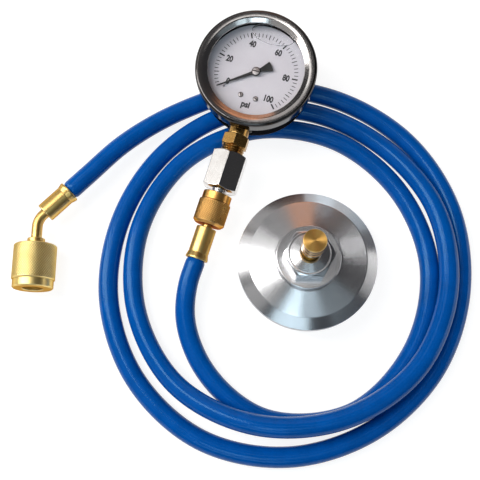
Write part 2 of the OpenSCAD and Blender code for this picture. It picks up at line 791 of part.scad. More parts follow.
// Crimp ferrule along +Z from its end wall, with a hole for what it grips the hose on
module ferrule(hole_r) {
    bell_r = ferrule_r + ferrule_flare;
    edge = 0.5;
    turned([
        [hole_r, 0], [ferrule_r - edge, 0], [ferrule_r, edge], [ferrule_r, ferrule_len - ferrule_bell],
        [bell_r, ferrule_len - edge * 2], [bell_r, ferrule_len - edge], [bell_r - edge, ferrule_len],
        [ferrule_bore_r, ferrule_len], [ferrule_bore_r, ferrule_end], [hole_r, ferrule_end],
    ]);
}

module gauge_ferrule() {
    color("gold") on_stem(ferrule_s) ferrule(nipple_r + seat);
}

// Rings of the hose as [centre, direction, outside radius]
function run(pts, i) = pts[min(i + 1, len(pts) - 1)] - pts[max(i - 1, 0)];
function hose_rings(pts) = concat(
    [for (s = [-squeeze_len, seat]) [hose_start + stem_dir * s, stem_dir, hose_squeezed / 2]],
    [[hose_start + stem_dir * hose_bulge, stem_dir, hose_od / 2]],
    [for (i = [1 : len(pts) - 2]) [pts[i], run(pts, i), hose_od / 2]],
    [[hose_end - end_dir * hose_bulge, end_dir, hose_od / 2]],
    [for (s = [-seat, squeeze_len]) [hose_end + end_dir * s, end_dir, hose_squeezed / 2]]
);
// One ring of points round a centre, in the plane across its direction
function hose_ring(centre, direction, r) =
    let (side = cross(direction, [0, 0, 1]) / norm(cross(direction, [0, 0, 1])),
         up = cross(side, direction) / norm(direction))
    [for (j = [0 : hose_sides - 1])
        let (a = 360 * (j + 0.5) / hose_sides) centre + r * (side * cos(a) + up * sin(a))];

module hose() {
    rings = hose_rings(laid(rings_per_span));
    n = len(rings);
    m = hose_sides;
    outside = [for (q = rings) each hose_ring(q[0], q[1], q[2])];
    inside = [for (q = rings) each hose_ring(q[0], q[1], hose_bore / 2)];
    function out(i, j) = i * m + j % m;
    function inn(i, j) = (n + i) * m + j % m;
    color("dodgerblue") polyhedron(concat(outside, inside), concat(
        [for (i = [0 : n - 2]) for (j = [0 : m - 1]) each [
            [out(i, j), out(i, j + 1), out(i + 1, j)], [out(i + 1, j), out(i, j + 1), out(i + 1, j + 1)],
            [inn(i, j), inn(i + 1, j), inn(i, j + 1)], [inn(i + 1, j), inn(i + 1, j + 1), inn(i, j + 1)],
        ]],
        [for (j = [0 : m - 1]) each [
            [out(0, j), inn(0, j), out(0, j + 1)], [inn(0, j), inn(0, j + 1), out(0, j + 1)],
            [out(n - 1, j), out(n - 1, j + 1), inn(n - 1, j)],
            [inn(n - 1, j), out(n - 1, j + 1), inn(n - 1, j + 1)],
        ]]
    ), convexity = 10);
}

module angle_ferrule() {
    color("gold") at_hose_end() translate([0, 0, ferrule_len]) mirror([0, 0, 1]) ferrule(tube_d / 2 + seat);
}

// The bent tube's run with a given diameter, from inside the hose to the face of its stem, where it is
// drawn down a little
module tube_run(d) {
    drawn = 0.1;
    tail = ferrule_len - 2;
    into_nut = stem_collar + slip * 2 + angle_wall + angle_shoulder_t;
    translate(bend_centre) rotate([0, 0, 180 - angle_heading]) {
        translate([tube_bend, 0, 0]) rotate([90, 0, 0]) cylinder(d = d, h = tail + tube_out);
        rotate_extrude(angle = angle_heading) translate([tube_bend, 0]) circle(d = d);
        rotate([0, 0, angle_heading]) translate([tube_bend, 0, 0])
            rotate([-90, 0, 0]) cylinder(d = d - drawn, h = tube_in + into_nut);
    }
}

module angle_tube() {
    color("gold") difference() {
        tube_run(tube_d);
        tube_run(tube_bore);
    }
}

module angle_stem() {
    neck = stem_collar + slip * 2 + angle_wall;
    hole_r = tube_d / 2 + seat;
    collar_r = angle_stem_neck_d / 2 + 1;
    color("gold") at_nut(stem_at) turned([
        [hole_r, 0], [collar_r - 0.5, 0], [collar_r, 0.5], [collar_r, stem_collar],
        [angle_stem_neck_d / 2, stem_collar], [angle_stem_neck_d / 2, neck], [angle_shoulder_r, neck],
        [angle_shoulder_r, neck + angle_shoulder_t], [hole_r, neck + angle_shoulder_t],
    ]);
}

module angle_gasket() {
    color([0.1, 0.1, 0.1]) at_nut(nut_at) translate([0, 0, angle_wall + slip + angle_shoulder_t])
        ring(tube_d / 2 + 0.6, angle_shoulder_r, angle_seal_t);
}

module core_depressor() {
    web_r = tube_d / 2 + 0.6;
    color("gold") at_nut(nut_at) translate([0, 0, angle_wall + slip + angle_shoulder_t]) {
        cylinder(r = depressor_r, h = angle_seal_t + 1.2);
        intersection() {
            cylinder(r = web_r, h = depressor_web);
            for (a = [0, 90]) rotate([0, 0, a]) translate([-web_r, -0.6, 0]) cube([web_r * 2, 1.2, depressor_web]);
        }
    }
}

module angle_nut() {
    r = angle_nut_d / 2;
    ring_r = angle_ring_d / 2;
    hole_r = angle_stem_neck_d / 2 + run_fit;
    step = 0.6;
    color("gold") at_nut(nut_at) turned([
        [hole_r, 0], [r - step, 0], [r, step], [r, angle_knurl_h - step], [ring_r, angle_knurl_h],
        [ring_r, angle_nut_h - step], [ring_r - step, angle_nut_h], [mouth_d / 2, angle_nut_h],
        [mouth_d / 2, angle_nut_h - mouth_h], [thread_r, angle_nut_h - mouth_h],
        [thread_r, angle_wall + angle_chamber], [angle_chamber_r, angle_wall + angle_chamber],
        [angle_chamber_r, angle_wall], [hole_r, angle_wall],
    ]);
}

module filter_cap() {
    rim_r = rim_d / 2;
    spigot_r = spigot_d / 2;
    corner_r = hex_af / sqrt(3);
    top_r = hex_af / 2 - hex_edge;
    slope_h = (corner_r - top_r) * tan(30);
    land_r = land_d / 2;
    edge = 0.4;
    color("lightgray") difference() {
        union() {
            turned([
                [0, 0], [spigot_r, 0], [spigot_r, groove_top - groove_h], [groove_r, groove_top - groove_h],
                [groove_r, groove_top], [spigot_r, groove_top], [spigot_r, spigot_h],
                [rim_r - edge, spigot_h], [rim_r, spigot_h + edge], [rim_r, rim_top],
                [rim_r - bevel_w, face_z], [collar_d / 2, face_z], [collar_d / 2, collar_top - edge],
                [collar_d / 2 - edge, collar_top], [0, collar_top],
            ]);
            translate([0, 0, collar_top]) intersection() {
                cylinder(d = hex_af / cos(30), h = hex_h, $fn = 6);
                turned([[0, 0], [corner_r + 0.1, 0], [corner_r + 0.1, hex_h - slope_h], [top_r, hex_h], [0, hex_h]]);
            }
            translate([0, 0, hex_top]) turned([[0, 0], [land_r, 0], [port_d / 2 + 0.8, land_rise], [0, land_rise]]);
        }
        translate([0, 0, -1]) cylinder(r = spigot_r - spigot_wall, h = hollow_z + 1);
        translate([0, 0, hollow_z - 1]) cylinder(d = passage_d, h = hex_top);
        translate([0, 0, port_seat]) cylinder(r = port_d / 2, h = port_root + land_rise + 1);
        translate([0, 0, hex_top - land_groove]) ring(land_r, land_r + land_groove, land_groove + 1);
    }
}

module cap_o_ring() {
    color([0.08, 0.08, 0.08]) translate([0, 0, groove_top - groove_h / 2])
        rotate_extrude() translate([groove_r + seat + ring_w / 2, 0]) circle(d = ring_w, $fn = 32);
}

module test_port() {
    r = port_d / 2;
    color("gold") difference() {
        turned([
            [0, port_seat], [r, port_seat], [r, hex_top + land_rise], [neck_d / 2, hex_top + land_rise],
            [neck_d / 2, shoulder_z], [shoulder_d / 2, shoulder_z], [shoulder_d / 2, shoulder_z + shoulder_h],
            [r, shoulder_z + shoulder_h], [r, port_top - 0.6], [r - 0.6, port_top], [0, port_top],
        ]);
        translate([0, 0, port_seat - 1]) cylinder(d = passage_d, h = port_top);
        translate([0, 0, core_floor]) cylinder(d = core_d, h = port_top);
    }
}

module valve_core() {
    guide_r = valve_pin_d / 2 + run_fit;
    r = core_d / 2 - seat;
    color("gold") turned([
        [guide_r + 0.5, core_z], [r, core_z], [r, core_top], [guide_r, core_top],
        [guide_r, core_top - core_land], [guide_r + 0.5, core_top - core_land],
    ]);
}

module valve_pin() {
    color("silver") {
        translate([0, 0, pin_low]) cylinder(d = valve_pin_d, h = pin_high - pin_low);
        translate([0, 0, poppet_z]) cylinder(r = poppet_r, h = poppet_h);
    }
}

module valve_spring() {
    sides = 6;
    steps = 8 * spring_turns;
    rise = spring_h - spring_wire;
    function along(i) = [spring_r * cos(i * 45), spring_r * sin(i * 45), spring_z + spring_wire / 2 + rise * i / steps];
    function around(i, j) =
        let (out = [cos(i * 45), sin(i * 45), 0], a = 360 * j / sides)
        along(i) + spring_wire / 2 * (out * cos(a) + [0, 0, 1] * sin(a));
    color("silver") polyhedron(
        [for (i = [0 : steps]) for (j = [0 : sides - 1]) around(i, j)],
        concat(
            [[for (j = [0 : sides - 1]) j], [for (j = [sides - 1 : -1 : 0]) steps * sides + j]],
            [for (i = [0 : steps - 1]) for (j = [0 : sides - 1]) each [
                [i * sides + j, (i + 1) * sides + j, i * sides + (j + 1) % sides],
                [(i + 1) * sides + j, (i + 1) * sides + (j + 1) % sides, i * sides + (j + 1) % sides],
            ]]
        )
    );
}

module port_seal() {
    color([0.1, 0.1, 0.1]) translate([0, 0, seal_z]) cylinder(r = port_d / 2 - slip, h = port_seal_t);
}

module port_cap() {
    r = port_cap_d / 2;
    edge = 0.5;
    color("gold") difference() {
        turned([[0, cap_z], [r, cap_z], [r, cap_top - edge], [r - edge, cap_top], [0, cap_top]]);
        translate([0, 0, cap_z - 1]) cylinder(r = port_d / 2 + run_fit, h = cap_top - port_cap_roof - cap_z + 1);
    }
}

union() {  // hose
    echo(hose_length = total(travel(laid(checks_per_span))));
    echo(hose_least_gap = hose_gap(laid(checks_per_span), checks_per_span * 5));
    echo(hose_least_gap_as_built = hose_gap(laid(rings_per_span), rings_per_span * 5));
}
echo(gauge_at = gauge_at, pivot = pivot, tail = tail, stem_at = stem_at, cap_top = cap_top);

gauge_case();
fill_plug();
gauge_bezel();
window_gasket();
gauge_window();
gauge_dial();
dial_screws();
stop_pin();
gauge_pointer();
pinion_arbor();
sector_gear();
movement_link();
back_plate();
front_plate();
movement_posts();
movement_screws();
hairspring();
bourdon_tube();
bourdon_tip();
gauge_socket();
socket_seal();
case_screws();
pulse_restrictor();
hex_adapter();
swivel_nut();
swivel_gasket();
hose_nipple();
gauge_ferrule();
hose();
angle_ferrule();
angle_tube();
angle_stem();
angle_gasket();
core_depressor();
angle_nut();
filter_cap();
cap_o_ring();
test_port();
valve_core();
valve_pin();
valve_spring();
port_seal();
port_cap();
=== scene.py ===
import json
import math

import bmesh
import bpy
import numpy as np
from mathutils import Matrix


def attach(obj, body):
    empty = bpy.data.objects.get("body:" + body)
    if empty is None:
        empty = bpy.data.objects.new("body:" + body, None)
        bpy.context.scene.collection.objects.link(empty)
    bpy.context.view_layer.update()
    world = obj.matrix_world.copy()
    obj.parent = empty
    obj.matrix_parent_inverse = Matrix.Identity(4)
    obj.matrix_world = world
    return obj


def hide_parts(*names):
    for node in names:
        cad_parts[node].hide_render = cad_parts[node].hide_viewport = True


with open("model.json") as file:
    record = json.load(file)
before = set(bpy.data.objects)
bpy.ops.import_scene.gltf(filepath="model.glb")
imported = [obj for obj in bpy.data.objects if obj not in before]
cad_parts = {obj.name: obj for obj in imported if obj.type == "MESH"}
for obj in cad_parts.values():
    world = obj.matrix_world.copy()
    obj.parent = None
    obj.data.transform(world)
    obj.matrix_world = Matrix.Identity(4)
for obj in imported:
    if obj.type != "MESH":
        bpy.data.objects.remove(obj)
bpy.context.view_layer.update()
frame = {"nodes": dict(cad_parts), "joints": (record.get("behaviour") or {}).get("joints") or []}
scene = bpy.context.scene
scene.view_settings.view_transform = "Standard"

# Local shapes are worked out in millimetres and put into the meshes in metres
MM = 0.001
TURN = 2 * math.pi


# Camera

CAMERA_AT = (-0.036645, -0.087971, 0.3912)
CAMERA_LEAN = math.radians(15)
CAMERA_LENS = 52.5


def set_camera():
    """A camera above the table that looks down at it, leaning a little back from straight down."""
    data = bpy.data.cameras.new("camera")
    data.sensor_width = 36
    data.lens = CAMERA_LENS
    camera = bpy.data.objects.new("camera", data)
    camera.location = CAMERA_AT
    camera.rotation_euler = (CAMERA_LEAN, 0, 0)
    scene.collection.objects.link(camera)
    scene.camera = camera


# Seats: where a local shape sits, as (origin in mm, rows of its x, y and z axes)

joints = {joint["name"]: joint for joint in frame["joints"]}


def unit(v):
    """A direction as a unit vector, for one vector or for rows of them."""
    v = np.asarray(v, float)
    return v / np.linalg.norm(v, axis=-1, keepdims=True)


def seat(origin, x, z):
    """A seat from its origin, its x direction and its z direction; y completes the right hand."""
    x, z = unit(x), unit(z)
    return np.asarray(origin, float), np.stack([x, np.cross(z, x), z])


GAUGE_AT = np.array(joints["pointer_turn"]["pos_m"]) / MM
DIAL_OUT = -unit(joints["pointer_turn"]["axis"])
STEM_DIR = unit(joints["swivel_nut_turn"]["axis"])
DIAL_RIGHT = np.cross(-STEM_DIR, DIAL_OUT)
NUT_AT = np.array(joints["angle_nut_turn"]["pos_m"]) / MM
GAUGE = seat(GAUGE_AT, DIAL_RIGHT, DIAL_OUT)
CAP = seat((0, 0, 0), (1, 0, 0), (0, 0, 1))
NUT = seat(NUT_AT, (1, 0, 0), (0, -1, 0))


def on_stem(station):
    """The seat at a distance along the gauge's stem: z down the stem, y out of the dial."""
    return seat(GAUGE_AT + STEM_DIR * station, DIAL_RIGHT, STEM_DIR)


# Meshes
# A shell is a closed surface: points (n, 3), quads (m, 4), uv (m, 4, 2) and an edge mark (n,)
# that is 1 on a rounded outer edge, -1 in an inner corner and 0 on the faces.

SHARP_ANGLE = math.radians(38)
MERGE_DIST = 1e-7
EMPTY_EDGE = 1e-8


def grid(points, u, v, mark=None, loop=False):
    """Joins rows of points that run round a shape into quads: each point joins its neighbour in the
    row, the last to the first, and the row after it; loop joins the last row to the first."""
    rows, columns = points.shape[:2]
    r = np.arange(rows if loop else rows - 1)[:, None]
    c = np.arange(columns)[None, :]
    r2, c2 = (r + 1) % rows, (c + 1) % columns
    quads = np.stack([r * columns + c, r * columns + c2, r2 * columns + c2, r2 * columns + c], -1)
    u_next, v_next = u[c + 1] + 0 * r, v[r + 1] + 0 * c
    u_here, v_here = u[c] + 0 * r, v[r] + 0 * c
    uv = np.stack([np.stack([u_here, v_here], -1), np.stack([u_next, v_here], -1),
                   np.stack([u_next, v_next], -1), np.stack([u_here, v_next], -1)], -2)
    marks = np.zeros(1) if mark is None else mark
    marks = np.broadcast_to(marks if marks.ndim == 2 else marks[:, None], (rows, columns))
    return points.reshape(-1, 3), quads.reshape(-1, 4), uv.reshape(-1, 4, 2), marks.reshape(-1)


def put(shell, place):
    """Moves a local shell to its seat: origin + x, y and z along the seat's axes."""
    origin, axes = place
    return origin + shell[0] @ axes, *shell[1:]


def mesh_of(name, shells, hollow=False):
    """Joins shells that are already in place into one mesh whose faces point out of the shells, or into
    them if they bound a hollow."""
    counts = np.cumsum([0] + [len(s[0]) for s in shells])
    points = np.concatenate([s[0] for s in shells]) * MM
    quads = np.concatenate([s[1] + k for s, k in zip(shells, counts)])
    mesh = bpy.data.meshes.new(name)
    mesh.from_pydata(points.tolist(), [], quads.tolist())
    layer = mesh.uv_layers.new(name="turn")
    layer.data.foreach_set("uv", np.concatenate([s[2] for s in shells]).ravel())
    mark = mesh.attributes.new("edge", "FLOAT", "POINT")
    mark.data.foreach_set("value", np.concatenate([s[3] for s in shells]))
    work = bmesh.new()
    work.from_mesh(mesh)
    bmesh.ops.remove_doubles(work, verts=work.verts, dist=MERGE_DIST)
    bmesh.ops.dissolve_degenerate(work, edges=work.edges, dist=EMPTY_EDGE)
    bmesh.ops.recalc_face_normals(work, faces=work.faces)
    if hollow:
        bmesh.ops.reverse_faces(work, faces=work.faces)
    work.to_mesh(mesh)
    work.free()
    return mesh


def smooth(mesh):
    """Shades all faces of a mesh smoothly."""
    mesh.polygons.foreach_set("use_smooth", np.ones(len(mesh.polygons), bool))


def piece(name, shells, finish, body, slot, *nodes, hollows=()):
    """Makes one object from shells that are already in place, with its finish, its body, the CAD nodes that
    it stands for and any hollows inside it."""
    mesh = mesh_of(name, shells)
    if hollows:
        inside = mesh_of(name, hollows, hollow=True)
        work = bmesh.new()
        work.from_mesh(mesh)
        work.from_mesh(inside)
        work.to_mesh(mesh)
        work.free()
        bpy.data.meshes.remove(inside)
    smooth(mesh)
    mesh.set_sharp_from_angle(angle=SHARP_ANGLE)
    return dress(bpy.data.objects.new(name, mesh), finish, body, slot, *nodes)


def dress(obj, finish, body, slot, *nodes):
    """Links an object and gives it its finish and body, and hides the CAD nodes that it replaces. The slot
    is not used.
    """
    scene.collection.objects.link(obj)
    obj.data.materials.clear()
    obj.data.materials.append(finish)
    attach(obj, body)
    if nodes:
        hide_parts(*nodes)
    return obj


# A rounded corner: the most that its arc takes of a side, and how far past the arc its end points lie,
# as shares of its radius and of the side
ARC_OF_SIDE = 0.45
PAST_OF_RADIUS = 0.25
PAST_OF_SIDE = 0.04


def outline(corners, loop=True, steps=5):
    """Rounds an outline. Each corner is (r, z, radius): its arc is the curve (1-t)^2 a + 2t(1-t) p + t^2 b
    from a to b on its two sides, with a point just past each end so that the sides stay flat."""
    corners = [tuple(c) + (0,) * (3 - len(c)) for c in corners]
    flat = np.array([c[:2] for c in corners], float)
    before, after = np.roll(flat, 1, 0), np.roll(flat, -1, 0)
    area = np.sum(before[:, 0] * flat[:, 1] - flat[:, 0] * before[:, 1])
    t = np.linspace(0, 1, steps)[:, None]
    points, marks = [], []
    for i, (p, a, b) in enumerate(zip(flat, before, after)):
        radius = corners[i][2]
        end = not loop and i in (0, len(flat) - 1)
        if radius == 0 or end:
            points.append(p[None])
            marks.append([0])
            continue
        to_a, to_b = unit(a - p), unit(b - p)
        reach = min(np.linalg.norm(a - p), np.linalg.norm(b - p))
        half = math.acos(np.clip(to_a @ to_b, -1, 1)) / 2
        cut = min(radius / math.tan(half), ARC_OF_SIDE * reach)
        hold = min(PAST_OF_RADIUS * radius, PAST_OF_SIDE * reach)
        start, stop = p + to_a * cut, p + to_b * cut
        arc = (1 - t) ** 2 * start + 2 * t * (1 - t) * p + t ** 2 * stop
        points.append(np.concatenate([[start + to_a * hold], arc, [stop + to_b * hold]]))
        turn = (p - a)[0] * (b - p)[1] - (p - a)[1] * (b - p)[0]
        marks.append([0] + [np.sign(turn * area)] * steps + [0])
    return np.concatenate(points), np.concatenate(marks).astype(float)


def finer(points, marks, low, high, inner, outer, step):
    """Splits the straight stretches of an outline that reach between two heights, and lie between two
    radii, into equal parts no longer than a step."""
    out, out_marks = [], []
    for k in range(len(points)):
        a, b = points[k], points[(k + 1) % len(points)]
        inside = low < max(a[1], b[1]) and min(a[1], b[1]) < high
        inside = inside and inner <= min(a[0], b[0]) and max(a[0], b[0]) <= outer
        parts = max(1, math.ceil(np.linalg.norm(b - a) / step)) if inside else 1
        t = np.arange(parts) / parts
        out.append(a + (b - a) * t[:, None])
        out_marks.append(marks[k] * (t == 0))
    return np.concatenate(out), np.concatenate(out_marks)


def wave(x):
    """A triangle wave: 0 at whole numbers, 1 half way between them."""
    return 1 - np.abs(2 * (x - np.floor(x)) - 1)


def turned(corners, loop=True, columns=96, cut=None, window=None, step=0.2, steps=5):
    """A turned shape: the outline's points (r, z) go round to (r cos a, r sin a, z). In the window of
    heights and radii, cut(a, z) is taken off the radius, and the edge mark goes from a half on what
    stands to -1 at the bottom of the cut."""
    points, marks = outline(corners, loop, steps)
    if window:
        points, marks = finer(points, marks, *window, step)
    angle = np.arange(columns) / columns * TURN
    r, z = points[:, :1], points[:, 1:]
    if cut:
        low, high, inner, outer = window
        inside = (z >= low) & (z <= high) & (r >= inner) & (r <= outer)
        taken = np.where(inside, cut(angle[None, :], z), 0)
        marks = np.where(inside, 0.5 - 1.5 * taken / taken.max(), marks[:, None])
        r = r - taken
    r = r + 0 * angle[None, :]
    z = z + 0 * r
    run = np.concatenate([[0], np.cumsum(np.linalg.norm(np.diff(points, axis=0), axis=1))])
    run = np.append(run, run[-1] + np.linalg.norm(points[0] - points[-1])) if loop else run
    around = np.arange(columns + 1) / columns
    return grid(np.stack([r * np.cos(angle), r * np.sin(angle), z], -1), around, run * MM, marks, loop)


def knurl(count, pitch, depth, low, high):
    """A diamond knurl as a cut: depth (1 - s min(w(a n + z / p), w(a n - z / p))), w a triangle wave, whose
    steepness s leaves a flat on each diamond where the cut would fall below nothing. It fades out at
    either end."""
    steepness, end = 1.8, 0.4

    def cut(angle, z):
        round_ = angle * count / TURN
        ridge = np.minimum(wave(round_ + z / pitch), wave(round_ - z / pitch))
        fade = np.clip(np.minimum(z - low, high - z) / end, 0, 1)
        return depth * (1 - np.minimum(ridge * steepness, 1)) * fade
    return cut


def knurled(corners, count, pitch, depth, low, high, inner, outer):
    """A turned shape with a diamond knurl between two heights, on the side that lies between two radii:
    six steps go across each diamond and six along it."""
    steps = 6
    return turned(corners, columns=count * steps, cut=knurl(count, pitch, depth, low, high),
                  window=(low, high, inner, outer), step=pitch / steps)


def thread(pitch, depth, low, high):
    """A screw thread as a cut: depth times a triangle wave of z / pitch - angle / turn, stretched and cut
    off so that crests and roots are flat, fading in and out over half a pitch."""
    stretch, flat = 1.3, 0.15

    def cut(angle, z):
        fade = np.clip(np.minimum(z - low, high - z) / (0.5 * pitch), 0, 1)
        return depth * np.clip(wave(z / pitch - angle / TURN) * stretch - flat, 0, 1) * fade
    return cut


def hexed(rings, across, first_corner, per_side=16):
    """A six-sided turned shape. The hexagon's radius is R(a) = h / (sum |cos(a - f)|^p)^(1/p) over its
    flats f. A ring (r, z) is a circle, and a ring (None, z, slope, inset) follows R - inset with its
    height shifted by slope (R - h), as where a turned chamfer meets the flats."""
    half, power = across / 2, 110
    t = np.arange(per_side) / per_side * 2 - 1
    flats = first_corner + math.pi / 6 + np.arange(6) * math.pi / 3
    angle = (flats[:, None] + math.pi / 6 * np.sin(t * math.pi / 2)[None, :]).ravel()
    axes = np.abs(np.cos(angle[:, None] - flats[None, :3]))
    reach = half / np.sum(axes ** power, 1) ** (1 / power)
    radii = [reach - ring[3] if ring[0] is None else np.full_like(angle, ring[0]) for ring in rings]
    heights = [ring[1] + ring[2] * (reach - half) if ring[0] is None else np.full_like(angle, ring[1])
               for ring in rings]
    r, z = np.stack(radii), np.stack(heights)
    points = np.stack([r * np.cos(angle), r * np.sin(angle), z], -1)
    steps = np.linalg.norm(np.diff(points, axis=0), axis=-1).mean(1)
    run = np.concatenate([[0], np.cumsum(steps)])
    around = np.append(angle, angle[0] + TURN) / TURN
    corner_from, corner_over = 1.13, 0.02
    corner = np.clip((reach / half - corner_from) / corner_over, 0, 1)
    shell = grid(points, around, run * MM)
    worn = np.array([ring[0] is None for ring in rings])[:, None] * corner[None, :]
    return (*shell[:3], worn.ravel())


def swept(path, radius, sides=32):
    """A round bar along a path: rings of radius r across the path's direction, closed at both ends.
    The ring starts from the side that lies level."""
    radius = np.broadcast_to(np.asarray(radius, float), (len(path),))
    run = np.concatenate([[0], np.cumsum(np.linalg.norm(np.diff(path, axis=0), axis=1))])
    ahead = unit(np.gradient(path, run, axis=0))
    side = unit(np.cross(ahead, (0, 0, 1)))
    up = np.cross(side, ahead)
    path, side, up = (np.concatenate([a[:1], a, a[-1:]]) for a in (path, side, up))
    radius = np.concatenate([[0], radius, [0]])[:, None, None]
    angle = (np.arange(sides) / sides * TURN)[None, :, None]
    points = path[:, None] + radius * (side[:, None] * np.cos(angle) + up[:, None] * np.sin(angle))
    run = np.concatenate([run[:1], run, run[-1:]])
    return grid(points, np.arange(sides + 1) / sides, run * MM)


# Finishes

def linear(red, green, blue):
    """A colour from its 0 to 255 screen values, as the linear colour that a node takes."""
    c = np.array([red, green, blue]) / 255
    c = np.where(c <= 0.04045, c / 12.92, ((c + 0.055) / 1.055) ** 2.4)
    return (*c.tolist(), 1.0)


def add(tree, kind, inputs=None, **settings):
    """Adds a node. Settings are its properties; inputs are values or links for its sockets."""
    made = tree.nodes.new(kind)
    for key, value in settings.items():
        setattr(made, key, value)
    for key, value in (inputs or {}).items():
        if isinstance(value, bpy.types.NodeSocket):
            tree.links.new(value, made.inputs[key])
        else:
            made.inputs[key].default_value = value
    return made


def maths(tree, operation, a, b=0.0, clamp=False):
    """One sum of two values or links."""
    return add(tree, "ShaderNodeMath", {0: a, 1: b}, operation=operation, use_clamp=clamp).outputs[0]


def group(name, inputs, outputs):
    """An empty shader node group with named float inputs (and their values) and named outputs."""
    tree = bpy.data.node_groups.new(name, "ShaderNodeTree")
    for key, value in inputs.items():
        socket = tree.interface.new_socket(key, in_out="INPUT", socket_type="NodeSocketFloat")
        socket.default_value = value
    for key in outputs:
        tree.interface.new_socket(key, in_out="OUTPUT", socket_type="NodeSocketFloat")
    return tree, tree.nodes.new("NodeGroupInput").outputs, tree.nodes.new("NodeGroupOutput").inputs


def turning_group():
    """Fine rings left by the lathe: smooth noise along the outline's length, the same all the way round,
    at a coarse and a fine spacing."""
    tree, given, out = group("turning_lines", {"Lines per mm": 3.0}, ["Lines"])
    length = add(tree, "ShaderNodeSeparateXYZ", {0: add(tree, "ShaderNodeUVMap", uv_map="turn").outputs[0]})
    along = maths(tree, "MULTIPLY", length.outputs["Y"], maths(tree, "MULTIPLY", given[0], 1000.0))
    rings = add(tree, "ShaderNodeTexNoise", {"W": along, "Scale": 1.0, "Detail": 2.0, "Roughness": 0.7},
                noise_dimensions="1D")
    tree.links.new(rings.outputs[0], out[0])
    return tree


def wear_group():
    """Rubbed edges and dark marks: the edge mark broken up by noise. Worn is 1 on a rubbed edge. The second
    output is 1 in a dirty corner and where a piece marks itself darker, such as screw slots; on the bezel's
    outer skirt and the filter cap's rim this darkening is painted shade."""
    tree, given, out = group("edge_wear", {"Breakup per mm": 0.6}, ["Worn", "Dirt and shade"])
    mark = add(tree, "ShaderNodeAttribute", attribute_name="edge").outputs["Fac"]
    where = add(tree, "ShaderNodeTexCoord").outputs["Object"]
    scale = maths(tree, "MULTIPLY", given[0], 1000.0)
    noise = add(tree, "ShaderNodeTexNoise", {"Vector": where, "Scale": scale, "Detail": 3.0}).outputs[0]
    broken = add(tree, "ShaderNodeMapRange", {0: noise, 1: 0.35, 2: 0.65, 3: 0.75, 4: 1.0}).outputs[0]
    tree.links.new(maths(tree, "MULTIPLY", mark, broken, True), out[0])
    tree.links.new(maths(tree, "MULTIPLY", maths(tree, "MULTIPLY", mark, -1.0), broken, True), out[1])
    return tree


def cloud_group():
    """Slow unevenness of a surface, such as handling marks and tarnish: noise at two scales, 0 to 1."""
    tree, given, out = group("cloud", {"Size in mm": 6.0}, ["Cloud", "Speck"])
    where = add(tree, "ShaderNodeTexCoord").outputs["Object"]
    scale = maths(tree, "DIVIDE", 1000.0, given[0])
    slow = add(tree, "ShaderNodeTexNoise",
               {"Vector": where, "Scale": scale, "Detail": 4.0, "Roughness": 0.6})
    fast_scale = maths(tree, "MULTIPLY", scale, 9.0)
    fast = add(tree, "ShaderNodeTexNoise", {"Vector": where, "Scale": fast_scale, "Detail": 2.0})
    for source, socket in ((slow, out[0]), (fast, out[1])):
        wide = add(tree, "ShaderNodeMapRange", {0: source.outputs[0], 1: 0.3, 2: 0.7}).outputs[0]
        tree.links.new(wide, socket)
    return tree


TURNING, WEAR, CLOUD = turning_group(), wear_group(), cloud_group()


def use(tree, made_group, **values):
    """Places a node group with its own values and returns its outputs."""
    node = tree.nodes.new("ShaderNodeGroup")
    node.node_tree = made_group
    for key, value in values.items():
        node.inputs[key.replace("_", " ")].default_value = value
    return node.outputs


def mix(tree, share, first, second):
    """A colour that goes from first to second by a share."""
    node = add(tree, "ShaderNodeMix", data_type="RGBA")
    for socket, value in ((node.inputs[0], share), (node.inputs[6], first), (node.inputs[7], second)):
        if isinstance(value, bpy.types.NodeSocket):
            tree.links.new(value, socket)
        else:
            socket.default_value = value
    return node.outputs[2]


def material(name):
    """A new material, its tree and its main shader."""
    made = bpy.data.materials.new(name)
    made.use_nodes = True
    return made, made.node_tree, made.node_tree.nodes["Principled BSDF"]


def fix(shader, values):
    """Sets the sockets of a shader that are the same all over a surface."""
    for key, value in values.items():
        shader.inputs[key].default_value = value


def surface(tree, shader, colour, drift, smoothest, roughest, height, depth):
    """Links what changes over a surface to its shader: its colour, a roughness that drifts between two
    values, and a bump of a depth in millimetres."""
    rough = add(tree, "ShaderNodeMapRange", {0: drift, 3: smoothest, 4: roughest})
    bump = add(tree, "ShaderNodeBump", {"Height": height, "Distance": depth * MM, "Strength": 1.0})
    tree.links.new(colour, shader.inputs["Base Color"])
    tree.links.new(rough.outputs[0], shader.inputs["Roughness"])
    tree.links.new(bump.outputs[0], shader.inputs["Normal"])


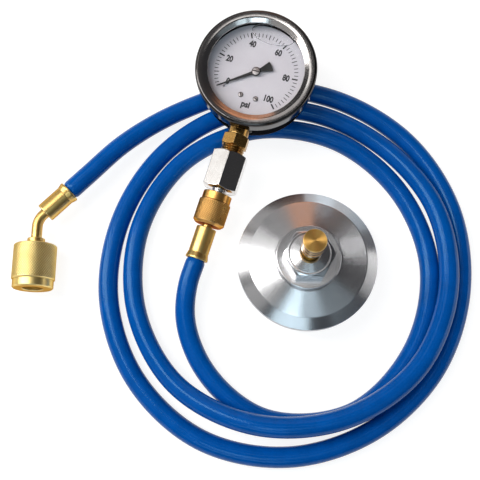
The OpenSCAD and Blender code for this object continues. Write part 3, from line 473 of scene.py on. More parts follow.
def metal(name, colour, tarnish, worn, rough, lines=3.0, line_depth=0.004, size=6.0, spread=0.12, aniso=0.0,
          grime_and_shade=0.6, grazing=(1, 1, 1, 1)):
    """A machined or plated metal: its colour drifts towards its tarnish in clouds, its rounded edges are
    rubbed bright and its corners dirty, and its turning lines stand in a fine bump. The same darkening
    paints the surfaces marked for it dark, such as the bezel's outer skirt and the filter cap's rim, as
    painted shade. Where it is seen at a grazing angle it takes the grazing tint."""
    made, tree, shader = material(name)
    cloud, speck = use(tree, CLOUD, Size_in_mm=size)[:2]
    rubbed, dirt_and_shade = use(tree, WEAR, Breakup_per_mm=0.5)[:2]
    rings = use(tree, TURNING, Lines_per_mm=lines)[0]
    body = mix(tree, maths(tree, "MULTIPLY", cloud, 0.55), colour, tarnish)
    body = mix(tree, maths(tree, "MULTIPLY", speck, 0.12), body, tarnish)
    soil_and_shade = tuple(0.1 * c for c in tarnish[:3]) + (1,)
    # Darkens towards a near-black colour where the mark says: dirt in corners, and painted shade on the
    # bezel's skirt and the cap's rim
    body = mix(tree, maths(tree, "MULTIPLY", dirt_and_shade, grime_and_shade), body, soil_and_shade)
    body = mix(tree, maths(tree, "MULTIPLY", rubbed, 0.6), body, worn)
    drift = maths(tree, "ADD", maths(tree, "MULTIPLY", cloud, 0.6), maths(tree, "MULTIPLY", rings, 0.4))
    smoothest, roughest = max(rough - spread / 2, 0.03), rough + spread / 2
    surface(tree, shader, body, drift, smoothest, roughest, rings, line_depth)
    fix(shader, {"Metallic": 1.0, "Specular Tint": grazing})
    if aniso:
        fix(shader, {"Anisotropic": aniso, "Anisotropic Rotation": 0.25})
        tangent = add(tree, "ShaderNodeTangent", direction_type="UV_MAP", uv_map="turn")
        tree.links.new(tangent.outputs[0], shader.inputs["Tangent"])
    return made


def paint(name, colour, shade, rough, grain):
    """A painted or moulded surface: two near colours in clouds, specks, and a fine grain in the bump."""
    made, tree, shader = material(name)
    cloud, speck = use(tree, CLOUD, Size_in_mm=5.0)[:2]
    rubbed = use(tree, WEAR, Breakup_per_mm=0.8)[0]
    body = mix(tree, maths(tree, "MULTIPLY", cloud, 0.7), colour, shade)
    light = tuple(min(1, 1.35 * c + 0.02) for c in colour[:3]) + (1,)
    body = mix(tree, maths(tree, "MULTIPLY", rubbed, 0.35), body, light)
    surface(tree, shader, body, speck, rough - 0.06, rough + 0.06, speck, grain)
    return made


def hose_finish():
    """Blue rubber hose: a smooth cover over a braid that prints through as two crossing sets of low ribs,
    with handling marks and lint in the gloss, which has a blue tint."""
    made, tree, shader = material("blue_hose_rubber")
    strands, ribs_per_m = 16.0, 560.0
    cloud, speck = use(tree, CLOUD, Size_in_mm=9.0)[:2]
    where = add(tree, "ShaderNodeSeparateXYZ", {0: add(tree, "ShaderNodeUVMap", uv_map="turn").outputs[0]})
    round_, along = where.outputs["X"], where.outputs["Y"]
    ribs = []
    for hand in (1.0, -1.0):
        phase = maths(tree, "ADD", maths(tree, "MULTIPLY", round_, strands * hand),
                      maths(tree, "MULTIPLY", along, ribs_per_m))
        ribs.append(maths(tree, "SINE", maths(tree, "MULTIPLY", phase, TURN)))
    braid = maths(tree, "MAXIMUM", *ribs)
    colour = mix(tree, cloud, linear(0, 85, 172), linear(0, 95, 190))
    colour = mix(tree, maths(tree, "MULTIPLY", speck, 0.25), colour, linear(10, 110, 208))
    drift = maths(tree, "ADD", maths(tree, "MULTIPLY", cloud, 0.7), maths(tree, "MULTIPLY", speck, 0.3))
    height = maths(tree, "ADD", maths(tree, "MULTIPLY", braid, 0.6), maths(tree, "MULTIPLY", speck, 0.4))
    surface(tree, shader, colour, drift, 0.1, 0.2, height, 0.02)
    fix(shader, {"Specular IOR Level": 0.28, "Specular Tint": (0.45, 0.85, 1, 1)})
    return made


def clear_finish(name, colour, rough, ior):
    """A clear solid that lets light through to what is behind it: glass for what is seen, and see-through
    for the rays that look for a lamp."""
    made, tree, shader = material(name)
    fix(shader, {"Base Color": colour, "Transmission Weight": 1.0, "IOR": ior})
    cloud = use(tree, CLOUD, Size_in_mm=8.0)[0]
    smear = add(tree, "ShaderNodeMapRange", {0: cloud, 3: rough, 4: rough + 0.03})
    tree.links.new(smear.outputs[0], shader.inputs["Roughness"])
    through = add(tree, "ShaderNodeBsdfTransparent", {"Color": colour})
    lamp_ray = add(tree, "ShaderNodeLightPath").outputs["Is Shadow Ray"]
    both = add(tree, "ShaderNodeMixShader", {0: lamp_ray, 1: shader.outputs[0], 2: through.outputs[0]})
    tree.links.new(both.outputs[0], tree.nodes["Material Output"].inputs["Surface"])
    return made


# Grazing tint of the brasses: it paints their edges, where the surface turns away from the view, dark brown
# as a painted dark reflection
PAINTED_EDGE_BROWN = linear(150, 92, 44)
# The polished steel's darkening share is high so that the bezel's outer skirt is painted near black, as
# painted shade; it also darkens the bezel's corners
POLISHED = metal("polished_steel", linear(214, 210, 208), linear(176, 170, 168), linear(240, 238, 236),
                 0.15, lines=2.0, line_depth=0.0015, spread=0.08, grime_and_shade=0.95)
CASE = metal("case_steel", linear(70, 70, 74), linear(52, 51, 54), linear(136, 134, 134), 0.36,
             grazing=linear(90, 98, 108))
PLATE = metal("bright_plate", linear(226, 224, 222), linear(196, 190, 186), linear(244, 242, 240),
              0.17, lines=1.2, line_depth=0.001, spread=0.1)
BRASS = metal("bright_brass", linear(236, 202, 126), linear(206, 156, 86), linear(250, 230, 166), 0.33,
              grazing=PAINTED_EDGE_BROWN)
NUT_BRASS = metal("nut_brass", linear(252, 226, 150), linear(236, 196, 116), linear(255, 242, 190), 0.37,
                  grazing=PAINTED_EDGE_BROWN)
RED_BRASS = metal("red_brass", linear(230, 176, 100), linear(196, 138, 72), linear(248, 212, 150), 0.3,
                  grime_and_shade=0.8, grazing=PAINTED_EDGE_BROWN)
STEM_BRASS = metal("stem_brass", linear(186, 146, 84), linear(146, 106, 56), linear(226, 192, 130), 0.26)
MOVEMENT = metal("movement_brass", linear(214, 176, 104), linear(176, 134, 70), linear(240, 214, 150), 0.34)
BRONZE = metal("tube_bronze", linear(190, 130, 82), linear(146, 92, 56), linear(222, 170, 120), 0.36)
STEEL = metal("plain_steel", linear(186, 186, 188), linear(140, 140, 144), linear(226, 226, 228), 0.28)
SATIN_STEEL = metal("satin_steel", linear(168, 162, 162), linear(142, 136, 136), linear(214, 210, 210), 0.4,
                    grime_and_shade=0.9)
TURNED = metal("turned_aluminium", linear(226, 226, 228), linear(217, 217, 220), linear(246, 246, 248),
               0.25, lines=1.1, line_depth=0.005, size=16.0, spread=0.04, aniso=0.6)
MILLED = metal("milled_aluminium", linear(224, 224, 227), linear(196, 197, 202), linear(246, 246, 248),
               0.22, lines=1.6, line_depth=0.003)
CAP_BRASS = metal("turned_brass", linear(230, 184, 104), linear(206, 150, 76), linear(250, 224, 156),
                  0.4, lines=2.6, line_depth=0.003, spread=0.06, aniso=0.86)
RING_BRASS = metal("ringed_brass", linear(196, 148, 86), linear(158, 110, 60), linear(236, 206, 150), 0.14)
DIAL = paint("dial_enamel", linear(198, 193, 199), linear(192, 187, 194), 0.4, grain=0.002)
INK = paint("dial_ink", linear(20, 18, 22), linear(32, 30, 34), 0.5, grain=0.003)
POINTER = paint("pointer_black", linear(9, 8, 10), linear(16, 15, 17), 0.5, grain=0.004)
GASKET = paint("grey_rubber", linear(128, 122, 118), linear(108, 104, 102), 0.6, grain=0.02)
RUBBER = paint("black_rubber", linear(26, 26, 28), linear(36, 36, 38), 0.62, grain=0.02)
HOSE = hose_finish()
WINDOW = clear_finish("window_and_fill", (1, 1, 1, 1), 0.0, 1.47)


# Hose

HOSE_R = 5.5
SQUEEZED_R = 4.7
SQUEEZED_LEN = 16.3
HOSE_START = np.array([-61, 2.5, 12.0])
HOSE_END = np.array([-134, 42.5, 11.75])
END_DIR = np.array([-math.sqrt(0.5), -math.sqrt(0.5), 0])
LEAD = 14
SWELL_LEN = 2.2
POINTS_PER_SPAN = 14
# Points that the hose is laid along: x, y and its lift off the table
HOSE_LAY = np.array([
    (-66.8, -29, 2.5), (-59.2, -52.5, 0.6), (-26, -82.6, 0), (22.6, -81, 0.1), (58.4, -46.7, 0),
    (70.2, 1, 0), (54.7, 45.7, 0), (20.5, 75.8, 0), (-27, 83, 0), (-69, 63.5, 0),
    (-93.5, 23.5, 0.1), (-94.5, -24, 0.4), (-71.4, -65.4, 4.4), (-29, -86.5, 11.6), (17.5, -83.5, 12.2),
    (57, -58, 11), (77.3, -14, 9.8), (73.6, 33, 7.2), (48.7, 70.6, 1.4), (7.3, 93.7, 0.1),
    (-39, 94.5, 0.1), (-80, 69.5, 0), (-104.5, 29, 0), (-110, -17.5, 0), (-93.5, -62.5, 0),
    (-58, -94, 0), (-11, -103, 0), (34, -89.5, 0), (69, -58, 0), (86.9, -13.4, 0),
    (85, 33.1, 0), (61.9, 75.4, 0), (21.7, 102.5, 0), (-25.5, 110, 0.2), (-70.3, 95.6, 1.2),
    (-105.4, 71.5, 5),
])


def hose_route(per_span):
    """The hose's centreline: a cubic through the points it is laid along, whose slope at each point is
    that of the spans on its two sides, weighted by the other span's length."""
    laid = HOSE_LAY + (0, 0, HOSE_R)
    points = np.concatenate([[HOSE_START, HOSE_START + STEM_DIR * LEAD], laid,
                             [HOSE_END - END_DIR * LEAD, HOSE_END]])
    chord = np.diff(points, axis=0)
    span = np.linalg.norm(chord, axis=1, keepdims=True)
    chord = chord / span
    inner = (chord[:-1] * span[1:] + chord[1:] * span[:-1]) / (span[:-1] + span[1:])
    slope = np.concatenate([chord[:1], inner, chord[-1:]])
    t = (np.arange(per_span) / per_span)[None, :, None]
    a, b, h = points[:-1, None], points[1:, None], span[:, None]
    curve = ((2 * t ** 3 - 3 * t ** 2 + 1) * a + (t ** 3 - 2 * t ** 2 + t) * h * slope[:-1, None]
             + (3 * t ** 2 - 2 * t ** 3) * b + (t ** 3 - t ** 2) * h * slope[1:, None])
    return np.concatenate([curve.reshape(-1, 3), points[-1:]])


def make_hose():
    """The hose: a round tube along its route, squeezed inside the ferrules and swelling past their mouths
    by s (2 - s), s the share of the swelling's length."""
    route = hose_route(POINTS_PER_SPAN)
    inside = np.linspace(-SQUEEZED_LEN, 0, 6)[:-1, None]
    path = np.concatenate([HOSE_START + STEM_DIR * inside, route, HOSE_END - END_DIR * inside[::-1]])
    run = np.concatenate([[0], np.cumsum(np.linalg.norm(np.diff(path, axis=0), axis=1))])
    past = np.minimum(run, run[-1] - run) - SQUEEZED_LEN
    swell = np.clip(past / SWELL_LEN, 0, 1)
    radius = SQUEEZED_R + (HOSE_R - SQUEEZED_R) * swell * (2 - swell)
    hose = piece("blue_hose", [swept(path, radius)], HOSE, "tester", "hose_rubber", "hose")
    return hose, path


# Gauge

# Heights are taken out of the dial, from the gauge's seat
BEZEL_R = 34.0
BEZEL_ROUND = 1.7
BEZEL_TOP = 18.0
LIP_R = 27.0
# The bezel's outer skirt, from this radius out over the fade, is painted dark: painted shade
SKIRT_R = 32.35
SKIRT_FADE = 0.35
SKIRT_PAINTED_SHADE = 2
DIAL_R = 28.4
DIAL_BACK = 6.3
DIAL_FACE = 6.9
FILL_GAP = 0.05
WINDOW_R = 32.9
WINDOW_TOP = 15.7
BUBBLE_R = 10
BUBBLE_STRETCH = (1.25, 0.6, 1)
BUBBLE_AT = (3, 23, 0)


def bezel_outline():
    """Section of the bezel: a hooked skirt, a round outer edge, a long slope down to the lip on the
    window, and the wall inside."""
    middle_r, middle_z = BEZEL_R - BEZEL_ROUND, BEZEL_TOP - BEZEL_ROUND
    turn = np.radians(np.linspace(0, 90, 12))
    edge = [(middle_r + BEZEL_ROUND * math.cos(a), middle_z + BEZEL_ROUND * math.sin(a)) for a in turn]
    skirt = [(31.7, 9.4, 0.2), (BEZEL_R, 9.4, 0.8)]
    slope = [(29.6, 17.45, 4.0), (LIP_R, 16.24, 0.25), (LIP_R, 15.74)]
    wall = [(33.05, 15.74), (33.05, 10.45), (31.7, 10.45, 0.1)]
    return skirt + edge + slope + wall


def make_case():
    """Gauge case: a deep turned cup with a rounded back, a pressed ring on the back and a flange, and the
    bezel over it, whose outer skirt is painted dark as painted shade."""
    case = turned([(0, -9.5), (22.5, -9.5, 0.5), (23, -9.1, 0.3), (24.2, -9.1, 0.3), (24.7, -9.5, 0.5),
                   (31.5, -9.5, 3), (31.5, 10.5, 0.2), (33, 10.5, 0.2), (33, 11.5, 0.2), (30.5, 11.5, 0.2),
                   (30.5, -8.5, 2), (0, -8.5)], loop=False, columns=128)
    piece("case", [put(case, GAUGE)], CASE, "tester", "case_steel", "gauge_case")
    bezel = turned(bezel_outline(), columns=160)
    # Painted shade: the outer skirt is marked so that its steel is painted near black
    skirt = np.clip((np.hypot(bezel[0][:, 0], bezel[0][:, 1]) - SKIRT_R) / SKIRT_FADE, 0, 1)
    bezel = *bezel[:3], -SKIRT_PAINTED_SHADE * skirt
    piece("bezel", [put(bezel, GAUGE)], POLISHED, "tester", "bezel_steel", "gauge_bezel")


def make_window():
    """Window with the clear fill behind it down to the dial, and the air bubble near the dial's top: a
    flat oval puck, x and y stretched, whose lower edge is rounded."""
    low = DIAL_FACE + FILL_GAP
    fill = turned([(0, low), (30.3, low), (30.3, 11.4), (28.4, 11.6), (28.4, 12.7), (WINDOW_R, 12.7, 0.3),
                   (WINDOW_R, WINDOW_TOP, 0.3), (0, WINDOW_TOP)], loop=False, columns=128)
    bubble = turned([(0, 12.5), (BUBBLE_R, 12.5, 0.3), (BUBBLE_R, 10.3, 1.4), (0, 10.3)], loop=False,
                    columns=96)
    bubble = bubble[0] * BUBBLE_STRETCH + BUBBLE_AT, *bubble[1:]
    piece("window_and_fill", [put(fill, GAUGE)], WINDOW, "tester", "window", "gauge_window",
          hollows=[put(bubble, GAUGE)])


ZERO = math.radians(217)
START = math.radians(222)
SWEEP = math.radians(270)
FULL_SCALE = 100


def dial_angle(reading):
    """Angle on the dial of a reading, from the dial's right: even steps, but the zero is drawn up to where
    the pointer rests on its stop."""
    return np.minimum(START - SWEEP * np.asarray(reading, float) / FULL_SCALE, ZERO)


def bars(centre, along, across, half_len, half_wide, low, high):
    """Many thin bars at once: the eight corners of each are centre +- along x half length +- across x
    half width, at two heights."""
    sign = np.array([(-1, -1), (1, -1), (1, 1), (-1, 1)])
    flat = (centre[:, None] + along[:, None] * half_len[:, None, None] * sign[None, :, :1]
            + across[:, None] * half_wide[:, None, None] * sign[None, :, 1:])
    bottom = np.concatenate([flat, np.full(flat.shape[:2] + (1,), low)], -1)
    top = np.concatenate([flat, np.full(flat.shape[:2] + (1,), high)], -1)
    corners = np.concatenate([bottom, top], 1)
    sides = np.array([(3, 2, 1, 0), (4, 5, 6, 7), (0, 1, 5, 4), (1, 2, 6, 5), (2, 3, 7, 6), (3, 0, 4, 7)])
    quads = (np.arange(len(centre))[:, None, None] * 8 + sides[None]).reshape(-1, 4)
    return corners.reshape(-1, 3), quads, np.zeros((len(quads), 4, 2)), np.zeros(corners.shape[0] * 8)


INK_TOP = 6.93
TICK_R = 23.8
NUMBER_R = 17.2
NUMBER_SIZE = 5.0
NUMBER_WIDTH = 0.76
ZERO_RAISED = 1.0
UNIT_AT = (0.0, -20.2)
UNIT_WIDTH = 0.9
WORD_DEEP = 0.004
WORD_BOLD = 0.045
WORD_LIFT = 0.016


def dial_ticks():
    """Scale of the dial: from 4 up, a tick every 2, a longer one every 10 and a heavy one every 20."""
    reading = np.arange(4, FULL_SCALE + 1, 2)
    tens, heavy = reading % 10 == 0, reading % 20 == 0
    length = np.where(heavy, 3.3, np.where(tens, 2.9, 2.3))
    wide = np.where(heavy, 0.85, np.where(tens, 0.48, 0.4))
    out = np.stack([np.cos(dial_angle(reading)), np.sin(dial_angle(reading))], -1)
    centre = out * (TICK_R - length / 2)[:, None]
    across = out[:, ::-1] * (-1, 1)
    return bars(centre, out, across, length / 2, wide / 2, DIAL_FACE, INK_TOP)


def make_dial_words():
    """Numbers of the scale and its unit, upright on the dial: each is set as text, made a mesh, narrowed,
    and put on the dial."""
    reading = np.arange(0, FULL_SCALE + 1, 20)
    spots = [(str(n), NUMBER_R * math.cos(a), NUMBER_R * math.sin(a) + ZERO_RAISED * (n == 0), NUMBER_WIDTH)
             for n, a in zip(reading, dial_angle(reading))]
    spots.append(("psi", *UNIT_AT, UNIT_WIDTH))
    origin, axes = GAUGE
    points, faces = [], []
    for word, x, y, wide in spots:
        text = bpy.data.curves.new("word", "FONT")
        text.body = word
        text.size = 1.0
        text.align_x = "CENTER"
        text.align_y = "CENTER"
        text.extrude = WORD_DEEP
        text.offset = WORD_BOLD
        text.resolution_u = 4
        holder = bpy.data.objects.new("word", text)
        mesh = holder.to_mesh()
        flat = np.empty(len(mesh.vertices) * 3)
        mesh.vertices.foreach_get("co", flat)
        flat = flat.reshape(-1, 3)
        middle = (flat.max(0) + flat.min(0)) / 2
        scale = (NUMBER_SIZE * wide, NUMBER_SIZE, NUMBER_SIZE)
        local = (flat - middle) * scale + (x, y, DIAL_FACE + WORD_LIFT)
        start = sum(len(p) for p in points)
        faces += [[start + v for v in face.vertices] for face in mesh.polygons]
        points.append((origin + local @ axes) * MM)
        holder.to_mesh_clear()
        bpy.data.objects.remove(holder)
        bpy.data.curves.remove(text)
    words = bpy.data.meshes.new("dial_numbers")
    words.from_pydata(np.concatenate(points).tolist(), [], faces)
    dress(bpy.data.objects.new("dial_numbers", words), INK, "tester", "pointer_black")


def slotted_head(radius, low, high, crown, slot_half, slot_deep, turn):
    """A slotted screw head or hub: a low dome z = high - crown (r / R)^2 with a straight slot sunk across it
    where |x| is less than the slot's half width; slot and rim are marked darker."""
    columns, edge = 96, 0.08
    share = np.concatenate([[0], np.linspace(0.06, 1, 22)])[:, None]
    angle = (np.arange(columns) / columns * TURN)[None, :]
    r = share * (radius - edge)
    x = r * np.cos(angle - turn)
    dip = slot_deep * np.clip((slot_half - np.abs(x)) / 0.06 + 0.5, 0, 1)
    top = np.stack([r * np.cos(angle), r * np.sin(angle), high - crown * share ** 2 - dip], -1)
    rim = np.array([(radius, high - crown - edge), (radius, low), (0, low)])
    side = np.stack([rim[:, :1] * np.cos(angle), rim[:, :1] * np.sin(angle), rim[:, 1:] + 0 * angle], -1)
    points = np.concatenate([top, side])
    run = np.linspace(0, radius * 2, len(points)) * MM
    darkened = (dip > 0.5 * slot_deep) | (share > 0.86)
    mark = np.concatenate([np.where(darkened, -1.0, 0.3), np.full(side.shape[:2], -1.0)])
    return grid(points, np.arange(columns + 1) / columns, run, mark)


def shifted(shell, x, y, z=0.0):
    """A local shell moved within its seat."""
    return shell[0] + (x, y, z), *shell[1:]


def pointer_plate():
    """Pointer: the outline of needle and tail, which every line from the hub meets once, as a plate with
    a small bevel all round."""
    tip, tip_half, root_half, tail_r, tail_half = 23.6, 0.25, 1.05, 9.4, 2.9
    root, neck, top, bottom, bevel = 1.25, -2.5, 8.9, 8.4, 0.08
    edge_in, least_reach = 0.1, 0.8
    tail = math.asin(tail_half / tail_r)
    arc = math.pi - np.linspace(tail, -tail, 9)
    corners = np.concatenate([
        [(root, -root_half), (tip, -tip_half), (tip, tip_half), (root, root_half), (neck, root_half)],
        np.stack([tail_r * np.cos(arc), tail_r * np.sin(arc)], -1),
        [(neck, -root_half)]])
    edge = np.concatenate([corners, corners[:1]])
    run = np.concatenate([[0], np.cumsum(np.linalg.norm(np.diff(edge, axis=0), axis=1))])
    at = np.linspace(0, run[-1], 241)[:-1]
    at = np.sort(np.concatenate([at, run[:-1]]))
    flat = np.stack([np.interp(at, run, edge[:, 0]), np.interp(at, run, edge[:, 1])], -1)
    reach = np.linalg.norm(flat, axis=1, keepdims=True)
    inset = flat * (1 - edge_in / np.maximum(reach, least_reach))
    rows = [(inset * 0, top), (inset, top), (flat, top - bevel), (flat, bottom + bevel), (inset, bottom),
            (inset * 0, bottom)]
    points = np.stack([np.concatenate([xy, np.full((len(xy), 1), z)], 1) for xy, z in rows])
    turn = np.array([(math.cos(ZERO), math.sin(ZERO)), (-math.sin(ZERO), math.cos(ZERO))])
    points[..., :2] = points[..., :2] @ turn
    mark = np.array([0, 1, 1, 1, 1, 0.0])
    return grid(points, np.arange(len(flat) + 1) / len(flat), np.arange(6) * MM, mark)


STOP_R = 19.8
STOP_ASIDE = 1.0
STOP_ANGLE = ZERO + STOP_ASIDE / STOP_R


def make_dial():
    """Dial with its print, screws and stop pin, and the pointer with its slotted hub."""
    disc = turned([(1.2, DIAL_BACK), (DIAL_R, DIAL_BACK, 0.1), (DIAL_R, DIAL_FACE, 0.1), (1.2, DIAL_FACE)],
                  columns=128)
    piece("dial", [put(disc, GAUGE)], DIAL, "tester", "dial_white", "gauge_dial")
    piece("dial_scale", [put(dial_ticks(), GAUGE)], INK, "tester", "pointer_black")
    make_dial_words()
    heads = [shifted(slotted_head(radius=1.5, low=DIAL_FACE, high=7.5, crown=0.15, slot_half=0.2,
                                  slot_deep=0.25, turn=turn), x, -15.0)
             for x, turn in ((-4.4, 0.4), (4.4, 1.2))]
    piece("dial_screw_heads", [put(h, GAUGE) for h in heads], SATIN_STEEL, "tester", "steel", "dial_screws")
    pin = turned([(0, DIAL_BACK), (0.5, DIAL_BACK), (0.5, 9.4, 0.25), (0, 9.4)], loop=False, columns=24)
    pin = shifted(pin, STOP_R * math.cos(STOP_ANGLE), STOP_R * math.sin(STOP_ANGLE))
    piece("stop_peg", [put(pin, GAUGE)], SATIN_STEEL, "tester", "brass", "stop_pin")
    piece("pointer_needle", [put(pointer_plate(), GAUGE)], POINTER, "pointer", "pointer_black",
          "gauge_pointer")
    hub = slotted_head(radius=2.5, low=8.2, high=10.1, crown=0.2, slot_half=0.28, slot_deep=0.22,
                       turn=ZERO + 0.9)
    piece("pointer_hub", [put(hub, GAUGE)], SATIN_STEEL, "pointer", "steel")


# Stem, adapter and the fittings at the gauge end

# Distances along the stem from the gauge's seat to the seats of the fittings
COLLAR_AT = 31.5
STEM_HEX_AT = 35.8
STEM_THREAD_AT = 42.8
ADAPTER_AT = 47.1
SWIVEL_NUT_AT = 71.3
NIPPLE_AT = 82.4
FERRULE_AT = 91.6
# Hexagons across their flats
STEM_FLATS = 14.0
ADAPTER_FLATS = 19.0


def make_stem():
    """Brass stem of the gauge: a round collar, a hex for a spanner and a screw thread into the adapter."""
    collar = turned([(0, -3), (6, -3), (6, 4.25, 0.35), (0, 4.25)], loop=False)
    hexagon = hexed([(0, 0.0), (6.6, 0.0), (None, 0.1, 0.5, 0.15), (None, 0.3, 0.5, 0.0),
                     (None, 0.5, 0.5, 0.0), (None, 6.5, -0.5, 0.0), (None, 6.7, -0.5, 0.0),
                     (None, 6.9, -0.5, 0.15), (6.6, 7.0), (0, 7.0)], STEM_FLATS, math.pi / 6)
    screw = turned([(0, -0.4), (6.6, -0.4), (6.6, 8.2), (0, 8.2)], loop=False, columns=128,
                   cut=thread(pitch=1.4, depth=0.75, low=-0.5, high=8.3), window=(-0.5, 8.3, 5, 7),
                   step=0.14)
    shells = [put(collar, on_stem(COLLAR_AT)), put(hexagon, on_stem(STEM_HEX_AT)),
              put(screw, on_stem(STEM_THREAD_AT))]
    piece("gauge_stem", shells, STEM_BRASS, "tester", "brass", "gauge_socket")
    seal = turned([(6, -2, 0.1), (7.2, -2, 0.1), (7.2, -0.8, 0.3), (6.3, -0.1, 0.2), (6, -0.1, 0.1)],
                  columns=64)
    piece("stem_seal", [put(seal, on_stem(COLLAR_AT))], RUBBER, "tester", "black_rubber", "socket_seal")


def make_adapter():
    """Plated hex adapter: a long hexagon with both ends turned to a chamfer, and a round neck."""
    flat, slope = 9.3, math.tan(math.pi / 6)
    low, high, end = 0.1, 21.6, 21.7
    body = hexed([(6.7, 6.0), (6.7, 0.25), (6.95, 0.0), (flat, 0.0), (None, low + 0.02, slope, 0.04),
                  (None, low + 0.16, slope, 0.0), (None, low + 0.4, slope, 0.0),
                  (None, high - 0.4, -slope, 0.0), (None, high - 0.16, -slope, 0.0),
                  (None, high - 0.02, -slope, 0.04), (flat, end), (0, end), (0, 6.0)],
                 ADAPTER_FLATS, math.pi / 6, 18)
    neck = turned([(0, 21), (4.2, 21), (4.2, 22.4, 0.2), (3.9, 22.6, 0.1), (3.9, 23.1, 0.1),
                   (4.2, 23.3, 0.2), (4.2, 27), (0, 27)], loop=False)
    place = on_stem(ADAPTER_AT)
    piece("adapter", [put(body, place), put(neck, place)], PLATE, "tester", "fitting_plate", "hex_adapter")


def make_swivel_nut():
    """Swivel nut: a plain collar, a diamond knurl and a rounded end, bored for the nipple."""
    nut = knurled([(5.65, 0, 0.2), (8.2, 0, 0.4), (8.2, 4.6, 0.15), (9, 5.1, 0.2), (9, 17.2, 0.5),
                   (7.5, 18.7, 0.5), (2.9, 18.7, 0.3), (2.9, 13.7), (5.65, 13.7)],
                  count=46, pitch=1.5, depth=0.25, low=5.3, high=17.0, inner=8.5, outer=9.1)
    piece("swivel_nut_knurled", [put(nut, on_stem(SWIVEL_NUT_AT))], RED_BRASS, "swivel_nut", "brass",
          "swivel_nut")
    nipple = turned([(1.6, 0), (5.2, 0), (5.2, 2.4, 0.2), (2.8, 2.4), (2.8, 25.7, 0.2), (1.6, 25.7)],
                    columns=48)
    piece("nipple", [put(nipple, on_stem(NIPPLE_AT))], BRASS, "tester", "brass", "hose_nipple")


FERRULE_LEN = 18.5


def ferrule(hole):
    """Crimp ferrule from its end wall to its belled mouth, with a fine line where the bell begins."""
    return turned([(hole, 0), (5.65, 0, 0.6), (5.65, 14.5, 0.1), (5.55, 14.62, 0.05), (5.55, 14.8, 0.05),
                   (5.66, 14.95, 0.2), (6.35, 17.5, 0.6), (6.35, FERRULE_LEN, 0.5),
                   (4.75, FERRULE_LEN, 0.3), (4.75, 2), (hole, 2)], columns=80)


def make_ferrules():
    """The two ferrules of the hose."""
    place = on_stem(FERRULE_AT)
    piece("ferrule_at_gauge", [put(ferrule(2.85), place)], BRASS, "tester", "brass", "gauge_ferrule")
    place = seat(HOSE_END + END_DIR * FERRULE_LEN, (0, 0, 1), -END_DIR)
    return piece("ferrule_at_angle", [put(ferrule(3.0), place)], BRASS, "tester", "brass", "angle_ferrule")


# Angled end

BEND_R = 10.2
TUBE_R = 2.93
BEND_PAST_HOSE = 19.8
TUBE_BEFORE_BEND = 17.8
TUBE_PAST_BEND = 16.4
BEND_CLEAR = 0.5
STEM_BEHIND_NUT = 4.0


def make_angle_end():
    """Bent tube, stem and knurled hand nut at the far end of the hose."""
    start = HOSE_END + END_DIR * BEND_PAST_HOSE
    centre = start + BEND_R * np.array([math.sqrt(0.5), -math.sqrt(0.5), 0])
    angle = np.radians(np.linspace(135, 180, 16))[:, None]
    bend = centre + BEND_R * np.concatenate([np.cos(angle), np.sin(angle), 0 * angle], 1)
    first = start + END_DIR * np.linspace(-TUBE_BEFORE_BEND, -BEND_CLEAR, 6)[:, None]
    last = bend[-1] + np.array([0, -1.0, 0]) * np.linspace(BEND_CLEAR, TUBE_PAST_BEND, 6)[:, None]
    path = np.concatenate([first, bend, last])
    tube = piece("bent_tube", [swept(path, TUBE_R, 40)], BRASS, "tester", "brass", "angle_tube")
    stem = turned([(3.0, 0, 0.1), (4.8, 0, 0.6), (4.8, 3.8, 0.3), (3.8, 3.8), (3.8, 7.2), (4.75, 7.2, 0.2),
                   (4.75, 9.6, 0.2), (3.0, 9.6)], columns=64)
    place = seat(NUT_AT + (0, STEM_BEHIND_NUT, 0), (1, 0, 0), (0, -1, 0))
    stem = piece("nut_stem", [put(stem, place)], BRASS, "tester", "brass", "angle_stem")
    nut = knurled([(3.86, 0, 0.2), (11.15, 0, 0.5), (11.75, 0.6, 0.4), (11.75, 19.4, 0.3), (11.1, 20, 0.2),
                   (11.1, 24, 0.3), (10.5, 24.6, 0.3), (5.7, 24.6, 0.4), (5.7, 16.7, 0.1),
                   (5.1, 16.7, 0.3), (5.1, 8.7, 0.1), (5.5, 8.7), (5.5, 3), (3.86, 3)],
                  count=56, pitch=1.7, depth=0.22, low=0.8, high=19.2, inner=11.6, outer=11.8)
    nut = piece("hand_nut", [put(nut, NUT)], NUT_BRASS, "angle_nut", "brass", "angle_nut")
    return [tube, stem, nut]


# Filter cap

LEAN = math.tan(math.radians(15))
SPIGOT_R = 33
DISC_R = 38.25
RIM_LOW = 16
RIM_HIGH = 20.5
DISC_FACE = 24.2
RING_FIRST_R = 31.95
RING_STEP = 0.35
RING_WIDE = 0.32
RING_COUNT = 40
CAP_COLLAR_R = 17.5
CAP_COLLAR_TOP = 28.5
CAP_FLATS = 24.5
CAP_HEX_TOP = 36.5
O_RING_AT = (32.15, 13.2)
O_RING_R = 1.5


